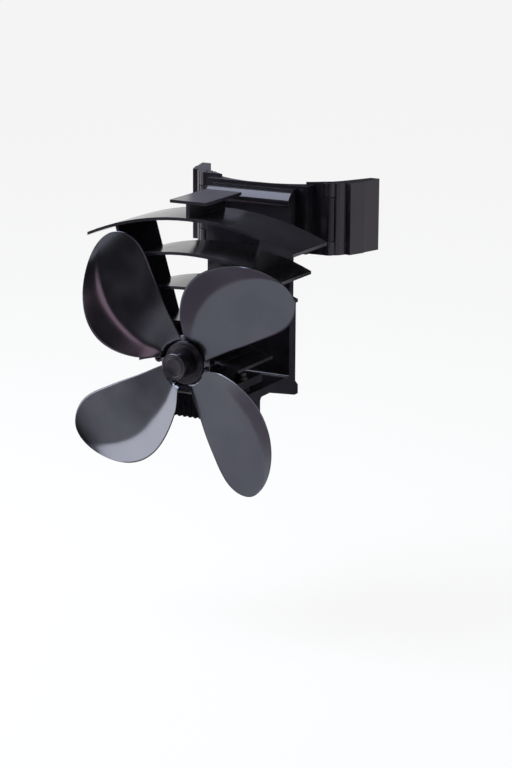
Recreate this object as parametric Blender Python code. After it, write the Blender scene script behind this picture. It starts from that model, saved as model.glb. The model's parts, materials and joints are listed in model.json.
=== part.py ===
"""Heat-powered fan that hugs a stove's flue pipe, built piece by piece.

Metres, +Z up, +X to the right as seen from the front. +Y points back into the pipe and -Y
out to the room. The origin is the middle of the bracket's back land, where it touches the
pipe. A thermoelectric module sits between the hot plate's shelf and the finned cold sink,
and drives the small motor whose shaft carries the four-blade fan.
"""
import math

import bmesh
import bpy
from mathutils import Matrix, Vector

# Pipe that the fan clips to, and the gaps between pieces
PIPE_RADIUS = 0.0625
TOUCH_GAP = 0.0003
RUN_GAP = 0.0005
RUN_CLEARANCE = 0.0001
CUT_OVERRUN = 0.001

# Bracket saddle
SADDLE_HEIGHT = 0.048
SADDLE_FRONT = 0.0021
SADDLE_TRIM = 0.0015
SADDLE_LAND = 0.008
BLOCK_WIDTH = 0.0155
LEDGE_WIDTH = 0.0089

# Wing hinges and the two magnetic wings
HINGE_ANGLE = math.radians(43.2)
HINGE_STANDOFF = 0.0054
KNUCKLE_RADIUS = 0.0046
KNUCKLE_HEIGHT = 0.009
PIN_RADIUS = 0.0015
PIN_SETBACK = 0.0005
WING_DEPTH = 0.0126
WING_ANGLES = [math.radians(a) for a in (46.0, 48.0, 51.6, 53.0, 62.7, 63.2, 74.9)]
WING_DEPTH_SHARES = (0.81, 0.82, 0.74, 0.99, 0.79, 0.71, 0.61)
WING_END_ANGLE = math.radians(73.4)
WING_END_STANDOFF = 0.0012
FLAT_ANGLE = math.radians(62.0)
FLAT_HALF_WIDTH = 0.0108
NECK_START = math.radians(100)
NECK_END = math.radians(340)

# Holding magnets, two in each wing, on a steel keeper
MAGNET_WIDTH = 0.014
MAGNET_HEIGHT = 0.0188
MAGNET_THICK = 0.004
KEEPER_THICK = 0.0012

# Block between the saddle and the hot plate
SPACER_HALF_WIDTH = 0.030
SPACER_HALF_HEIGHT = 0.0206
SPACER_THICK = 0.005

# Hot plate, an extrusion along X
HOT_HALF_WIDTH = 0.0312
HOT_PLATE_THICK = 0.005
HOT_TOP = 0.0195
BEAD_RADIUS = 0.005
BEAD_PROUD = 0.0035
PAD_TOP_DROP = 0.0528
PAD_THICK = 0.0038
SHELF_THICK = 0.0053
SHELF_REACH = 0.0875
BLOCK_DEPTH = 0.0346
BLOCK_HEIGHT = 0.0152
FILLET_RADIUS = 0.003
FOOT_TOP_DROP = 0.0049
FOOT_DROP = 0.0145
FOOT_CHAMFER = 0.0034
FOOT_THICK = 0.0048
SLOPE_REACH = 0.0396
INNER_FILLET = 0.002

# Vertical ribs on the front of the hot block
RIB_COUNT = 16
GROOVE_WIDTH = 0.0021
GROOVE_DEPTH = 0.0022
GROOVE_TOP_MARGIN = 0.0012

# Screws that hold the hot plate to the saddle from behind
BACK_SCREW_RADIUS = 0.0015
BACK_SCREW_HEAD_RADIUS = 0.0028
BACK_SCREW_HEAD = 0.0017
BACK_SCREW_SEAT = 0.0019
BACK_SCREW_BITE = 0.0042
BACK_SCREW_SPREAD = 0.022
BACK_SCREW_RISE = 0.013

# Thermoelectric module
MODULE_SIDE = 0.040
MODULE_SETBACK = 0.0005
CERAMIC_THICK = 0.0008
PELLET_HEIGHT = 0.0012
PELLET_SIDE = 0.0032
PELLET_ROWS = 6
TAB_THICK = 0.0003
TAB_INSET = 0.0002
SEAL_WALL = 0.0015

# Cold sink, an extrusion along Y
SINK_OVERHANG = 0.005
SINK_DEPTH = 0.0463
FIN_THICK = 0.002
STEM_THICK = 0.0025
TOP_FIN_HALF_WIDTH = 0.013
TOP_FIN_RISE = 0.0109
TOP_ARCH_RISE = 0.0126
LOW_ARCH_RISE = 0.004
ARCH_COUNT = 5
ARCH_RADIUS = 0.186
ARCH_RADIUS_SHARES = (1.0, 0.86, 0.81, 0.76, 0.65)
ARCH_HALF_WIDTH = 0.075
ARCH_WIDTH_SHARES = (1.0, 0.853, 0.729, 0.607, 0.488)
WEB_TOP_SHARE = 0.707
WEB_FOOT_SHARE = 0.46
WEB_LAND_SHARE = 0.75
RING_WALL = 0.0035
BASE_THICK = 0.005
BASE_HALF_WIDTH = 0.029
BASE_BITE = 0.0015
NECK_HALF_WIDTH = 0.0125
NECK_RISE = 0.004
PORT_OFFSET = 0.022
PORT_RADIUS = 0.0028
PORT_BORE_RADIUS = 0.0013

# Screws that pull the sink down on the module
CLAMP_OFFSET = 0.0245
CLAMP_RADIUS = 0.002
CLAMP_BITE = 0.009
CLAMP_HEAD_RADIUS = 0.0035
CLAMP_HEAD = 0.0026
CLAMP_SOCKET_RADIUS = 0.0017
CLAMP_SOCKET_DEPTH = 0.0014
WASHER_THICK = 0.0008
WASHER_RADIUS = 0.0038
BUSH_WALL = 0.0007
BUSH_FLANGE = 0.0008
BUSH_FLANGE_RADIUS = 0.0042

# Motor
HUB_DROP = 0.080
MOTOR_RADIUS = 0.0122
MOTOR_LENGTH = 0.027
MOTOR_RECESS = 0.0008
CAN_WALL = 0.0008
CAN_FRONT = 0.0012
BOSS_WALL = 0.0009
BOSS_PROUD = 0.0008
BEARING_RADIUS = 0.003
BEARING_LENGTH = 0.002
SHAFT_RADIUS = 0.001
END_CAP_THICK = 0.0018
END_CAP_PLUG = 0.0015
ARMATURE_RADIUS = 0.008
ARMATURE_LENGTH = 0.011
ARMATURE_SETBACK = 0.006
ARMATURE_POLES = 3
SLOT_HALF_WIDTH = 0.0009
SLOT_FLOOR_RADIUS = 0.0035
FIELD_THICK = 0.0021
FIELD_LENGTH = 0.014
FIELD_HALF_ANGLE = math.radians(58)
COMMUTATOR_RADIUS = 0.0026
COMMUTATOR_LENGTH = 0.003
BRUSH_SIDE = 0.0018
BRUSH_LENGTH = 0.0042
TERMINAL_OFFSET = 0.006
TERMINAL_WIDTH = 0.0024
TERMINAL_THICK = 0.0006
TERMINAL_LENGTH = 0.004
GRUB_RADIUS = 0.0014

# Leads from the module to the motor
LEAD_RADIUS = 0.0007
LEAD_BACK = 0.0045
LEAD_DIVE = 0.009
LEAD_STEP = 0.0035

# Fan: boss, spider of four blades, and cap
FAN_GAP = 0.0012
BOSS_RADIUS = 0.004
BOSS_FLANGE_RADIUS = 0.011
BOSS_FLANGE = 0.001
BOSS_LENGTH = 0.0118
SHEET_THICK = 0.001
SPIDER_RADIUS = 0.0145
CAP_FLANGE_RADIUS = 0.0139
CAP_FLANGE = 0.0012
CAP_RADIUS = 0.0087
CAP_LENGTH = 0.0135
CAP_EDGE = 0.0006
CAP_LIP = 0.0018
CAP_DISH = 0.0004
HUB_SCREW_BACK = 0.0045
HUB_SCREW_TURN = math.radians(-130)
BLADE_COUNT = 4
BLADE_PHASE = math.radians(42.7)
BLADE_THICK = 0.0008
BLADE_CUP = 0.0025
BLADE_CUP_START = 0.1
BLADE_CUP_GROWTH = 0.25
BLADE_SPLIT_COUNT = 2
BLADE_CHORD_STEPS = 8

# Rim of a blade: out along it, across it and forward of the spider's disc
BLADE_LEAD = ((0.0095, -0.0070, 0.0), (0.0160, -0.0092, 0.0), (0.0316, -0.0140, 0.0031),
              (0.0453, -0.0188, 0.0038), (0.0575, -0.0227, 0.0036), (0.0678, -0.0258, 0.0030),
              (0.0766, -0.0270, 0.0029), (0.0844, -0.0255, 0.0035), (0.0905, -0.0216, 0.0047),
              (0.0942, -0.0160, 0.0061))
BLADE_TRAIL = ((0.0085, 0.0082, 0.0), (0.0135, 0.0115, 0.0), (0.0225, 0.0218, 0.0110),
               (0.0343, 0.0293, 0.0154), (0.0467, 0.0329, 0.0169), (0.0590, 0.0321, 0.0164),
               (0.0705, 0.0274, 0.0145), (0.0805, 0.0196, 0.0121), (0.0882, 0.0101, 0.0100),
               (0.0931, 0.0003, 0.0085))
BLADE_TIP = (0.0950, -0.0087, 0.0074)

# Facets
ROUND_STEPS = 48
SMALL_STEPS = 24
ARCH_STEPS = 20
CORNER_STEPS = 8
SMOOTH_ANGLE = math.radians(32)
SIDES = (("left", -1), ("right", 1))

# Places worked out from the sizes above
hinge_x = (PIPE_RADIUS + HINGE_STANDOFF) * math.sin(HINGE_ANGLE)
hinge_y = PIPE_RADIUS - (PIPE_RADIUS + HINGE_STANDOFF) * math.cos(HINGE_ANGLE)
hub_z = -HUB_DROP
ring_bore = MOTOR_RADIUS + TOUCH_GAP
ring_radius = ring_bore + RING_WALL
base_top = hub_z - ring_radius + BASE_BITE
base_bottom = base_top - BASE_THICK
module_height = 2 * CERAMIC_THICK + PELLET_HEIGHT + 4 * TOUCH_GAP
shelf_top = base_bottom - module_height
sink_front = -(SHELF_REACH + SINK_OVERHANG)
sink_back = sink_front + SINK_DEPTH
spacer_back = -(SADDLE_FRONT + TOUCH_GAP)
spacer_front = spacer_back - SPACER_THICK
plate_back = spacer_front - TOUCH_GAP
plate_front = plate_back - HOT_PLATE_THICK
module_front = -(SHELF_REACH - MODULE_SETBACK)
module_y = module_front + MODULE_SIDE / 2
motor_front = sink_front + MOTOR_RECESS
motor_back = motor_front + MOTOR_LENGTH
boss_front = motor_front - BOSS_PROUD
fan_back = min(sink_front, boss_front) - FAN_GAP
sheet_back = fan_back - BOSS_FLANGE - TOUCH_GAP
sheet_front = sheet_back - SHEET_THICK
cap_back = sheet_front - TOUCH_GAP
cap_front = cap_back - CAP_FLANGE - CAP_LENGTH


def finish(name, colour, roughness, metallic):
    """A plain Principled material."""
    material = bpy.data.materials.new(name)
    material.use_nodes = True
    shader = material.node_tree.nodes["Principled BSDF"]
    shader.inputs["Base Color"].default_value = (*colour, 1.0)
    shader.inputs["Roughness"].default_value = roughness
    shader.inputs["Metallic"].default_value = metallic
    return material


def piece(name, bm, material):
    """Turns a bmesh into a named object, smooth except at its edges."""
    bmesh.ops.recalc_face_normals(bm, faces=bm.faces)
    mesh = bpy.data.meshes.new(name)
    bm.to_mesh(mesh)
    bm.free()
    mesh.shade_smooth()
    mesh.set_sharp_from_angle(angle=SMOOTH_ANGLE)
    mesh.materials.append(material)
    thing = bpy.data.objects.new(name, mesh)
    bpy.context.scene.collection.objects.link(thing)
    return thing


def add_prism(bm, outline, axis, low, high):
    """Extrudes a closed outline along an axis; its points are the other two coordinates."""
    place = {"X": lambda a, b: (low, a, b), "Y": lambda a, b: (a, low, b), "Z": lambda a, b: (a, b, low)}
    corners = [bm.verts.new(place[axis](a, b)) for a, b in outline]
    floor = bm.faces.new(corners)
    grown = bmesh.ops.extrude_face_region(bm, geom=[floor])
    raised = [part for part in grown["geom"] if isinstance(part, bmesh.types.BMVert)]
    step = {"X": (high - low, 0, 0), "Y": (0, high - low, 0), "Z": (0, 0, high - low)}
    bmesh.ops.translate(bm, verts=raised, vec=step[axis])
    return bm


def prism(outline, axis, low, high):
    """A bmesh that holds one extruded outline."""
    return add_prism(bmesh.new(), outline, axis, low, high)


def add_turned(bm, profile, axis_matrix, steps, closed):
    """Spins a profile of (radius, height) about its own Z, then places it with a matrix."""
    earlier = set(bm.verts)
    ring = [bm.verts.new((radius, 0, height)) for radius, height in profile]
    ends = list(zip(ring, ring[1:]))
    if closed:
        ends.append((ring[-1], ring[0]))
    edges = [bm.edges.new(pair) for pair in ends]
    bmesh.ops.spin(bm, geom=ring + edges, cent=(0, 0, 0), axis=(0, 0, 1), angle=2 * math.pi,
                   steps=steps, use_duplicate=False)
    spun = [vert for vert in bm.verts if vert not in earlier]
    bmesh.ops.remove_doubles(bm, verts=spun, dist=TOUCH_GAP / 100)
    spun = [vert for vert in bm.verts if vert not in earlier]
    bmesh.ops.transform(bm, matrix=axis_matrix, verts=spun)
    return bm


def turned(profile, axis_matrix, steps=ROUND_STEPS, closed=False):
    """A bmesh that holds one turned shape."""
    return add_turned(bmesh.new(), profile, axis_matrix, steps, closed)


def upright(x, y):
    """Places a turned shape on a vertical axis."""
    return Matrix.Translation((x, y, 0))


def forward(x, z):
    """Places a turned shape on an axis along Y, its heights being Y."""
    return Matrix.Translation((x, 0, z)) @ Matrix.Rotation(-math.pi / 2, 4, "X")


def rod(radius, low, high):
    """Profile of a plain round bar."""
    return [(0, low), (radius, low), (radius, high), (0, high)]


def tube(inner, outer, low, high):
    """Profile of a plain ring, to be closed."""
    return [(inner, low), (outer, low), (outer, high), (inner, high)]


def box_outline(low_a, high_a, low_b, high_b):
    """Four corners of a rectangle."""
    return [(low_a, low_b), (high_a, low_b), (high_a, high_b), (low_a, high_b)]


def arc(centre, radius, start, end, steps):
    """Points of an arc about a centre, both ends counted, angles from the first coordinate."""
    turns = [start + (end - start) * i / steps for i in range(steps + 1)]
    return [(centre[0] + radius * math.cos(t), centre[1] + radius * math.sin(t)) for t in turns]


def mirrored(outline):
    """Closes an outline that runs down one side of X = 0 with its mirror image."""
    return outline + [(-x, b) for x, b in reversed(outline) if x > 0]


def combine(target, tools, operation):
    """Joins or cuts one piece with hidden tool shapes."""
    for tool in tools:
        tool.hide_render = True
        tool.hide_set(True)
        tool.display_type = "WIRE"
        step = target.modifiers.new(operation.lower() + " " + tool.name, "BOOLEAN")
        step.operation = operation
        step.object = tool
        step.solver = "EXACT"
    return target


def around_pipe(angle, standoff):
    """Point in plan at an angle from the front of the pipe and a distance off its wall."""
    reach = PIPE_RADIUS + standoff
    return (reach * math.sin(angle), PIPE_RADIUS - reach * math.cos(angle))


BLACK = finish("black_anodised", (0.012, 0.012, 0.014), 0.28, 0.6)
BLADE_GREY = finish("blade_satin", (0.10, 0.105, 0.12), 0.35, 0.9)
HUB_BLACK = finish("hub_black", (0.02, 0.02, 0.022), 0.4, 0.3)
STEEL = finish("plain_steel", (0.5, 0.5, 0.52), 0.35, 1.0)
BRASS = finish("brass", (0.62, 0.45, 0.18), 0.35, 1.0)
CERAMIC = finish("white_ceramic", (0.8, 0.8, 0.77), 0.5, 0.0)
MAGNET = finish("magnet_nickel", (0.35, 0.35, 0.36), 0.3, 1.0)
SEAL = finish("silicone_seal", (0.6, 0.6, 0.58), 0.7, 0.0)
PLASTIC = finish("heat_plastic", (0.04, 0.04, 0.04), 0.6, 0.0)
RED_LEAD = finish("red_insulation", (0.35, 0.02, 0.02), 0.5, 0.0)
BLACK_LEAD = finish("black_insulation", (0.02, 0.02, 0.02), 0.5, 0.0)


def clear_scene():
    """Starts from an empty scene."""
    for thing in list(bpy.data.objects):
        bpy.data.objects.remove(thing)


# Bracket saddle

def saddle_outline():
    """Plan of the saddle: flat front, a ledge, a knuckle, and a back that follows the pipe."""
    side_x = hinge_x - LEDGE_WIDTH
    ledge_y = hinge_y - KNUCKLE_RADIUS
    ease = PIPE_RADIUS - math.sqrt(PIPE_RADIUS ** 2 - SADDLE_LAND ** 2)
    last = math.asin((hinge_x - KNUCKLE_RADIUS - RUN_GAP) / PIPE_RADIUS)
    first = math.asin(SADDLE_LAND / PIPE_RADIUS)
    back = []
    for i in range(ARCH_STEPS + 1):
        x, y = around_pipe(first + (last - first) * i / ARCH_STEPS, 0)
        back.append((x, y - ease))
    knuckle = arc((hinge_x, hinge_y), KNUCKLE_RADIUS, math.radians(130), math.radians(-90), SMALL_STEPS)
    front = [(side_x, ledge_y), (side_x, -SADDLE_FRONT)]
    return mirrored(back + knuckle + front)


def hinge_cutter(bm, side, room_in_middle):
    """Pin bore with room for the other piece's knuckles, in the middle or at both ends."""
    over = SADDLE_HEIGHT / 2 + CUT_OVERRUN
    bore = PIN_RADIUS + RUN_CLEARANCE
    room = KNUCKLE_RADIUS + RUN_GAP
    if room_in_middle:
        turn = SADDLE_HEIGHT / 2 - KNUCKLE_HEIGHT
        wide, narrow = bore, room
    else:
        turn = SADDLE_HEIGHT / 2 - KNUCKLE_HEIGHT - RUN_GAP
        wide, narrow = room, bore
    profile = [(0, -over), (wide, -over), (wide, -turn), (narrow, -turn), (narrow, turn), (wide, turn),
               (wide, over), (0, over)]
    add_turned(bm, profile, upright(side * hinge_x, hinge_y), SMALL_STEPS, False)


def saddle_cutter():
    """Trims above and below the plate, hinge cuts, and stepped screw holes, in one cutter."""
    half = SADDLE_HEIGHT / 2
    bm = bmesh.new()
    side_x = hinge_x - LEDGE_WIDTH + CUT_OVERRUN
    block_x = hinge_x - BLOCK_WIDTH
    step_y = hinge_y - KNUCKLE_RADIUS - TOUCH_GAP
    front = -SADDLE_FRONT - CUT_OVERRUN
    corner = [(block_x, hinge_y), (block_x, step_y), (side_x, step_y), (side_x, front)]
    for low, high in ((half - SADDLE_TRIM, half + CUT_OVERRUN), (-half - CUT_OVERRUN, SADDLE_TRIM - half)):
        add_prism(bm, mirrored(corner), "Z", low, high)
    for side in (-1, 1):
        hinge_cutter(bm, side, False)
    seat = BACK_SCREW_SEAT - SADDLE_FRONT
    shank = BACK_SCREW_RADIUS + TOUCH_GAP
    head = BACK_SCREW_HEAD_RADIUS + TOUCH_GAP
    stepped = [(0, front), (shank, front), (shank, seat), (head, seat), (head, hinge_y), (0, hinge_y)]
    for x, z in back_screw_places():
        add_turned(bm, stepped, forward(x, z), SMALL_STEPS, False)
    return piece("bracket_saddle_cutter", bm, BLACK)


def back_screw_places():
    """Four screws in a rectangle behind the hot plate."""
    return [(side * BACK_SCREW_SPREAD, end * BACK_SCREW_RISE) for side in (-1, 1) for end in (-1, 1)]


def make_saddle():
    """One extrusion with a milled top and bottom, hinge knuckles and four stepped holes."""
    half = SADDLE_HEIGHT / 2
    saddle = piece("bracket_saddle", prism(saddle_outline(), "Z", -half, half), BLACK)
    combine(saddle, [saddle_cutter()], "DIFFERENCE")


def make_back_screws():
    """Screws whose heads lie in the saddle's back and whose ends hold the hot plate."""
    seat = BACK_SCREW_SEAT - SADDLE_FRONT + TOUCH_GAP
    tip = plate_back - BACK_SCREW_BITE + TOUCH_GAP
    profile = [(0, tip), (BACK_SCREW_RADIUS, tip), (BACK_SCREW_RADIUS, seat),
               (BACK_SCREW_HEAD_RADIUS, seat), (BACK_SCREW_HEAD_RADIUS, seat + BACK_SCREW_HEAD),
               (0, seat + BACK_SCREW_HEAD)]
    for number, (x, z) in enumerate(back_screw_places(), 1):
        piece("bracket_screw_%d" % number, turned(profile, forward(x, z), SMALL_STEPS), STEEL)


# Hinge pins and wings

def make_pin(name, side):
    """A plain steel pin, a little short of both ends of its knuckles."""
    reach = SADDLE_HEIGHT / 2 - PIN_SETBACK
    piece(name, turned(rod(PIN_RADIUS, -reach, reach), upright(side * hinge_x, hinge_y), SMALL_STEPS), STEEL)


def flat_frame():
    """Middle of the wing's inner flat, with its directions along the flat and out of the pipe."""
    middle = Vector(around_pipe(FLAT_ANGLE, TOUCH_GAP))
    along = Vector((math.cos(FLAT_ANGLE), math.sin(FLAT_ANGLE)))
    outward = Vector((math.sin(FLAT_ANGLE), -math.cos(FLAT_ANGLE)))
    return middle, along, outward


def flat_box(low, high, near, far, side):
    """Rectangle in plan on the inner flat, from near to far off the pipe's wall."""
    middle, along, outward = flat_frame()
    corners = [middle + along * a + outward * b for a, b in box_outline(low, high, near, far)]
    return [(side * p.x, p.y) for p in corners]


def wing_outline(side):
    """Plan of a wing: knuckle, ribbed back, tapering outer face, and a flat that meets the pipe."""
    middle, along, _ = flat_frame()
    knuckle = arc((hinge_x, hinge_y), KNUCKLE_RADIUS, NECK_START, NECK_END, SMALL_STEPS)
    outer = [around_pipe(a, WING_DEPTH * s) for a, s in zip(WING_ANGLES, WING_DEPTH_SHARES)]
    end = [around_pipe(WING_END_ANGLE, WING_END_STANDOFF)]
    flat = [tuple(middle + along * FLAT_HALF_WIDTH), tuple(middle - along * FLAT_HALF_WIDTH)]
    return [(side * x, y) for x, y in knuckle + outer + end + flat]


def make_wing(name, side):
    """An extruded wing with knuckles at both ends and a milled pocket for its magnets."""
    half = SADDLE_HEIGHT / 2
    wing = piece(name, prism(wing_outline(side), "Z", -half, half), BLACK)
    pocket_half = MAGNET_WIDTH / 2 + TOUCH_GAP
    pocket_depth = KEEPER_THICK + MAGNET_THICK + 2 * TOUCH_GAP
    pocket_reach = MAGNET_HEIGHT + 2 * TOUCH_GAP
    bm = bmesh.new()
    hinge_cutter(bm, side, True)
    add_prism(bm, flat_box(-pocket_half, pocket_half, -CUT_OVERRUN, pocket_depth, side), "Z",
              -pocket_reach, pocket_reach)
    combine(wing, [piece(name + "_cutter", bm, BLACK)], "DIFFERENCE")


def make_magnets(name, side):
    """Two magnets, one above the other, flush with the wing's flat."""
    plan = flat_box(-MAGNET_WIDTH / 2, MAGNET_WIDTH / 2, 0, MAGNET_THICK, side)
    for end, low in (("_upper", TOUCH_GAP), ("_lower", -TOUCH_GAP - MAGNET_HEIGHT)):
        piece(name + end, prism(plan, "Z", low, low + MAGNET_HEIGHT), MAGNET)


def make_keeper(name, side):
    """A steel strip behind the two magnets."""
    near = MAGNET_THICK + TOUCH_GAP
    plan = flat_box(-MAGNET_WIDTH / 2, MAGNET_WIDTH / 2, near, near + KEEPER_THICK, side)
    reach = MAGNET_HEIGHT + TOUCH_GAP
    piece(name, prism(plan, "Z", -reach, reach), STEEL)


# Hot plate and the block behind it

def make_spacer():
    """A plain block that carries the heat from the saddle to the hot plate."""
    plan = box_outline(-SPACER_HALF_WIDTH, SPACER_HALF_WIDTH, -SPACER_HALF_HEIGHT, SPACER_HALF_HEIGHT)
    spacer = piece("bracket_spacer", prism(plan, "Y", spacer_front, spacer_back), BLACK)
    bm = bmesh.new()
    for x, z in back_screw_places():
        hole = rod(BACK_SCREW_RADIUS + TOUCH_GAP, spacer_front - CUT_OVERRUN, spacer_back + CUT_OVERRUN)
        add_turned(bm, hole, forward(x, z), SMALL_STEPS, False)
    combine(spacer, [piece("bracket_spacer_cutter", bm, BLACK)], "DIFFERENCE")


def hot_outline():
    """Side view (Y, Z) of the hot plate: bead, plate, shelf, front block, foot and lower pad."""
    block_bottom = shelf_top - BLOCK_HEIGHT
    block_back = -(SHELF_REACH - BLOCK_DEPTH)
    foot_bottom = shelf_top - FOOT_DROP
    foot_top = shelf_top - FOOT_TOP_DROP
    pad_back = plate_back + PAD_THICK
    shelf_low = shelf_top - SHELF_THICK
    bead = (plate_front - BEAD_PROUD + BEAD_RADIUS, HOT_TOP - BEAD_RADIUS)
    front_turn = math.acos((plate_front - bead[0]) / BEAD_RADIUS)
    back_turn = math.acos((plate_back - bead[0]) / BEAD_RADIUS)
    outline = arc(bead, BEAD_RADIUS, back_turn, 2 * math.pi - front_turn, SMALL_STEPS)
    outline += arc((plate_front - INNER_FILLET, shelf_top + INNER_FILLET), INNER_FILLET,
                   0, math.radians(-90), CORNER_STEPS // 2)
    outline += [(-SHELF_REACH, shelf_top), (-SHELF_REACH, block_bottom), (block_back, block_bottom)]
    outline += arc((block_back + FILLET_RADIUS, shelf_low - FILLET_RADIUS), FILLET_RADIUS,
                   math.radians(180), math.radians(90), CORNER_STEPS)
    outline += [(-SLOPE_REACH, shelf_low), (-FOOT_THICK, foot_bottom), (0, foot_bottom),
                (0, foot_top - FOOT_CHAMFER), (pad_back, foot_top), (pad_back, -PAD_TOP_DROP),
                (plate_back, -PAD_TOP_DROP)]
    return outline


def add_grooves(bm):
    """Round-topped upright grooves that leave ribs on the block's front face."""
    pitch = 2 * HOT_HALF_WIDTH / RIB_COUNT
    top = shelf_top - GROOVE_TOP_MARGIN - GROOVE_WIDTH / 2
    bottom = shelf_top - BLOCK_HEIGHT - CUT_OVERRUN
    for i in range(1, RIB_COUNT):
        x = i * pitch - HOT_HALF_WIDTH
        plan = arc((x, top), GROOVE_WIDTH / 2, 0, math.pi, CORNER_STEPS // 2)
        plan += [(x - GROOVE_WIDTH / 2, bottom), (x + GROOVE_WIDTH / 2, bottom)]
        add_prism(bm, plan, "Y", -SHELF_REACH - CUT_OVERRUN, -SHELF_REACH + GROOVE_DEPTH)


def make_hot_plate():
    """The extrusion, with its ribs, and blind holes for the back and clamp screws."""
    plate = piece("hot_plate", prism(hot_outline(), "X", -HOT_HALF_WIDTH, HOT_HALF_WIDTH), BLACK)
    bm = bmesh.new()
    add_grooves(bm)
    for x, z in back_screw_places():
        add_turned(bm, rod(BACK_SCREW_RADIUS + TOUCH_GAP, plate_back - BACK_SCREW_BITE, 0),
                   forward(x, z), SMALL_STEPS, False)
    for side in (-1, 1):
        add_turned(bm, rod(CLAMP_RADIUS + TOUCH_GAP, shelf_top - CLAMP_BITE, shelf_top + CUT_OVERRUN),
                   upright(side * CLAMP_OFFSET, module_y), SMALL_STEPS, False)
    combine(plate, [piece("hot_plate_cutter", bm, BLACK)], "DIFFERENCE")


# Thermoelectric module

def module_square(half):
    """Square in plan about the module's middle."""
    return box_outline(-half, half, module_y - half, module_y + half)


def make_module():
    """Two ceramic plates with rows of pellets between them and a seal round the edge."""
    half = MODULE_SIDE / 2
    hot_low = shelf_top + TOUCH_GAP
    pellet_low = hot_low + CERAMIC_THICK + TOUCH_GAP
    cold_low = pellet_low + PELLET_HEIGHT + TOUCH_GAP
    square = module_square(half)
    piece("module_hot_ceramic", prism(square, "Z", hot_low, hot_low + CERAMIC_THICK), CERAMIC)
    piece("module_cold_ceramic", prism(square, "Z", cold_low, cold_low + CERAMIC_THICK), CERAMIC)
    make_pellets(half - SEAL_WALL - TOUCH_GAP, pellet_low)
    seal = piece("module_seal", prism(square, "Z", pellet_low, pellet_low + PELLET_HEIGHT), SEAL)
    hole = piece("module_seal_hole", prism(module_square(half - SEAL_WALL), "Z", pellet_low - CUT_OVERRUN,
                                           pellet_low + PELLET_HEIGHT + CUT_OVERRUN), SEAL)
    combine(seal, [hole], "DIFFERENCE")


def pellet_places(inside):
    """Middles of the pellets in plan, row by row, every other row run backwards."""
    pitch = 2 * inside / PELLET_ROWS
    steps = [(i + 0.5) * pitch - inside for i in range(PELLET_ROWS)]
    places = []
    for row, y in enumerate(steps):
        line = [(x, module_y + y) for x in steps]
        places += line if row % 2 == 0 else line[::-1]
    return places


def make_pellets(inside, low):
    """Pellets in one long chain, joined two by two with copper tabs above and below in turn."""
    half = PELLET_SIDE / 2
    places = pellet_places(inside)
    pellets = bmesh.new()
    for x, y in places:
        plan = box_outline(x - half, x + half, y - half, y + half)
        add_prism(pellets, plan, "Z", low, low + PELLET_HEIGHT)
    chain = piece("module_pellets", pellets, STEEL)
    tabs = bmesh.new()
    edge = half - TAB_INSET
    for number, (here, there) in enumerate(zip(places, places[1:])):
        xs = sorted((here[0], there[0]))
        ys = sorted((here[1], there[1]))
        plan = box_outline(xs[0] - edge, xs[1] + edge, ys[0] - edge, ys[1] + edge)
        base = low if number % 2 else low + PELLET_HEIGHT - TAB_THICK
        add_prism(tabs, plan, "Z", base, base + TAB_THICK)
    combine(chain, [piece("module_tabs", tabs, BRASS)], "UNION")


# Cold sink

def arch_apex(index):
    """Height of an arch's top, evenly spaced from the top arch to the one at the motor ring."""
    lowest = hub_z + LOW_ARCH_RISE
    return TOP_ARCH_RISE - (TOP_ARCH_RISE - lowest) * index / (ARCH_COUNT - 1)


def arch_height(index, x):
    """Height of an arch's upper face at a place across it."""
    radius = ARCH_RADIUS * ARCH_RADIUS_SHARES[index]
    return arch_apex(index) - radius + math.sqrt(radius ** 2 - x ** 2)


def arch_outline(index):
    """Front view of one drooping fin, from tip to tip and back below."""
    half = ARCH_HALF_WIDTH * ARCH_WIDTH_SHARES[index]
    across = [half - 2 * half * i / ARCH_STEPS for i in range(ARCH_STEPS + 1)]
    top = [(x, arch_height(index, x)) for x in across]
    low = [(x, z - FIN_THICK) for x, z in reversed(top)]
    return top + low


def bar_outline(start, end, thick):
    """Front view of a straight web between two points."""
    start = Vector(start)
    end = Vector(end)
    along = (end - start).normalized()
    side = Vector((-along.y, along.x)) * thick / 2
    return [tuple(start + side), tuple(start - side), tuple(end - side), tuple(end + side)]


def web_points(side):
    """Top, foot and landing of a web, which leans in and then runs to the motor ring."""
    top_x = ARCH_HALF_WIDTH * WEB_TOP_SHARE
    foot_x = ARCH_HALF_WIDTH * WEB_FOOT_SHARE
    land_x = ring_radius * WEB_LAND_SHARE
    land_z = hub_z + math.sqrt(ring_radius ** 2 - land_x ** 2) - RING_WALL / 2
    middle = FIN_THICK / 2
    top = (side * top_x, arch_height(0, top_x) - middle)
    foot = (side * foot_x, arch_height(ARCH_COUNT - 2, foot_x) - middle)
    return top, foot, (side * (land_x - RING_WALL / 2), land_z)


def sink_shapes():
    """Outlines that the sink's section is made of, with the first as its base."""
    top_fin = TOP_ARCH_RISE + TOP_FIN_RISE
    shapes = [box_outline(-TOP_FIN_HALF_WIDTH, TOP_FIN_HALF_WIDTH, top_fin - FIN_THICK, top_fin)]
    shapes.append(box_outline(-STEM_THICK / 2, STEM_THICK / 2, TOP_ARCH_RISE - FIN_THICK / 2,
                              top_fin - FIN_THICK / 2))
    shapes += [arch_outline(index) for index in range(ARCH_COUNT)]
    for side in (-1, 1):
        top, foot, land = web_points(side)
        shapes.append(bar_outline(top, foot, FIN_THICK))
        shapes.append(bar_outline(foot, land, FIN_THICK))
    shapes.append(arc((0, hub_z), ring_radius, 0, 2 * math.pi, ROUND_STEPS)[:-1])
    shapes.append(box_outline(-NECK_HALF_WIDTH, NECK_HALF_WIDTH, base_top - BASE_BITE, base_top + NECK_RISE))
    shapes.append(box_outline(-BASE_HALF_WIDTH, BASE_HALF_WIDTH, base_bottom, base_top))
    for side in (-1, 1):
        shapes.append(arc(port_centre(side), PORT_RADIUS, 0, 2 * math.pi, SMALL_STEPS)[:-1])
    return shapes


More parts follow.
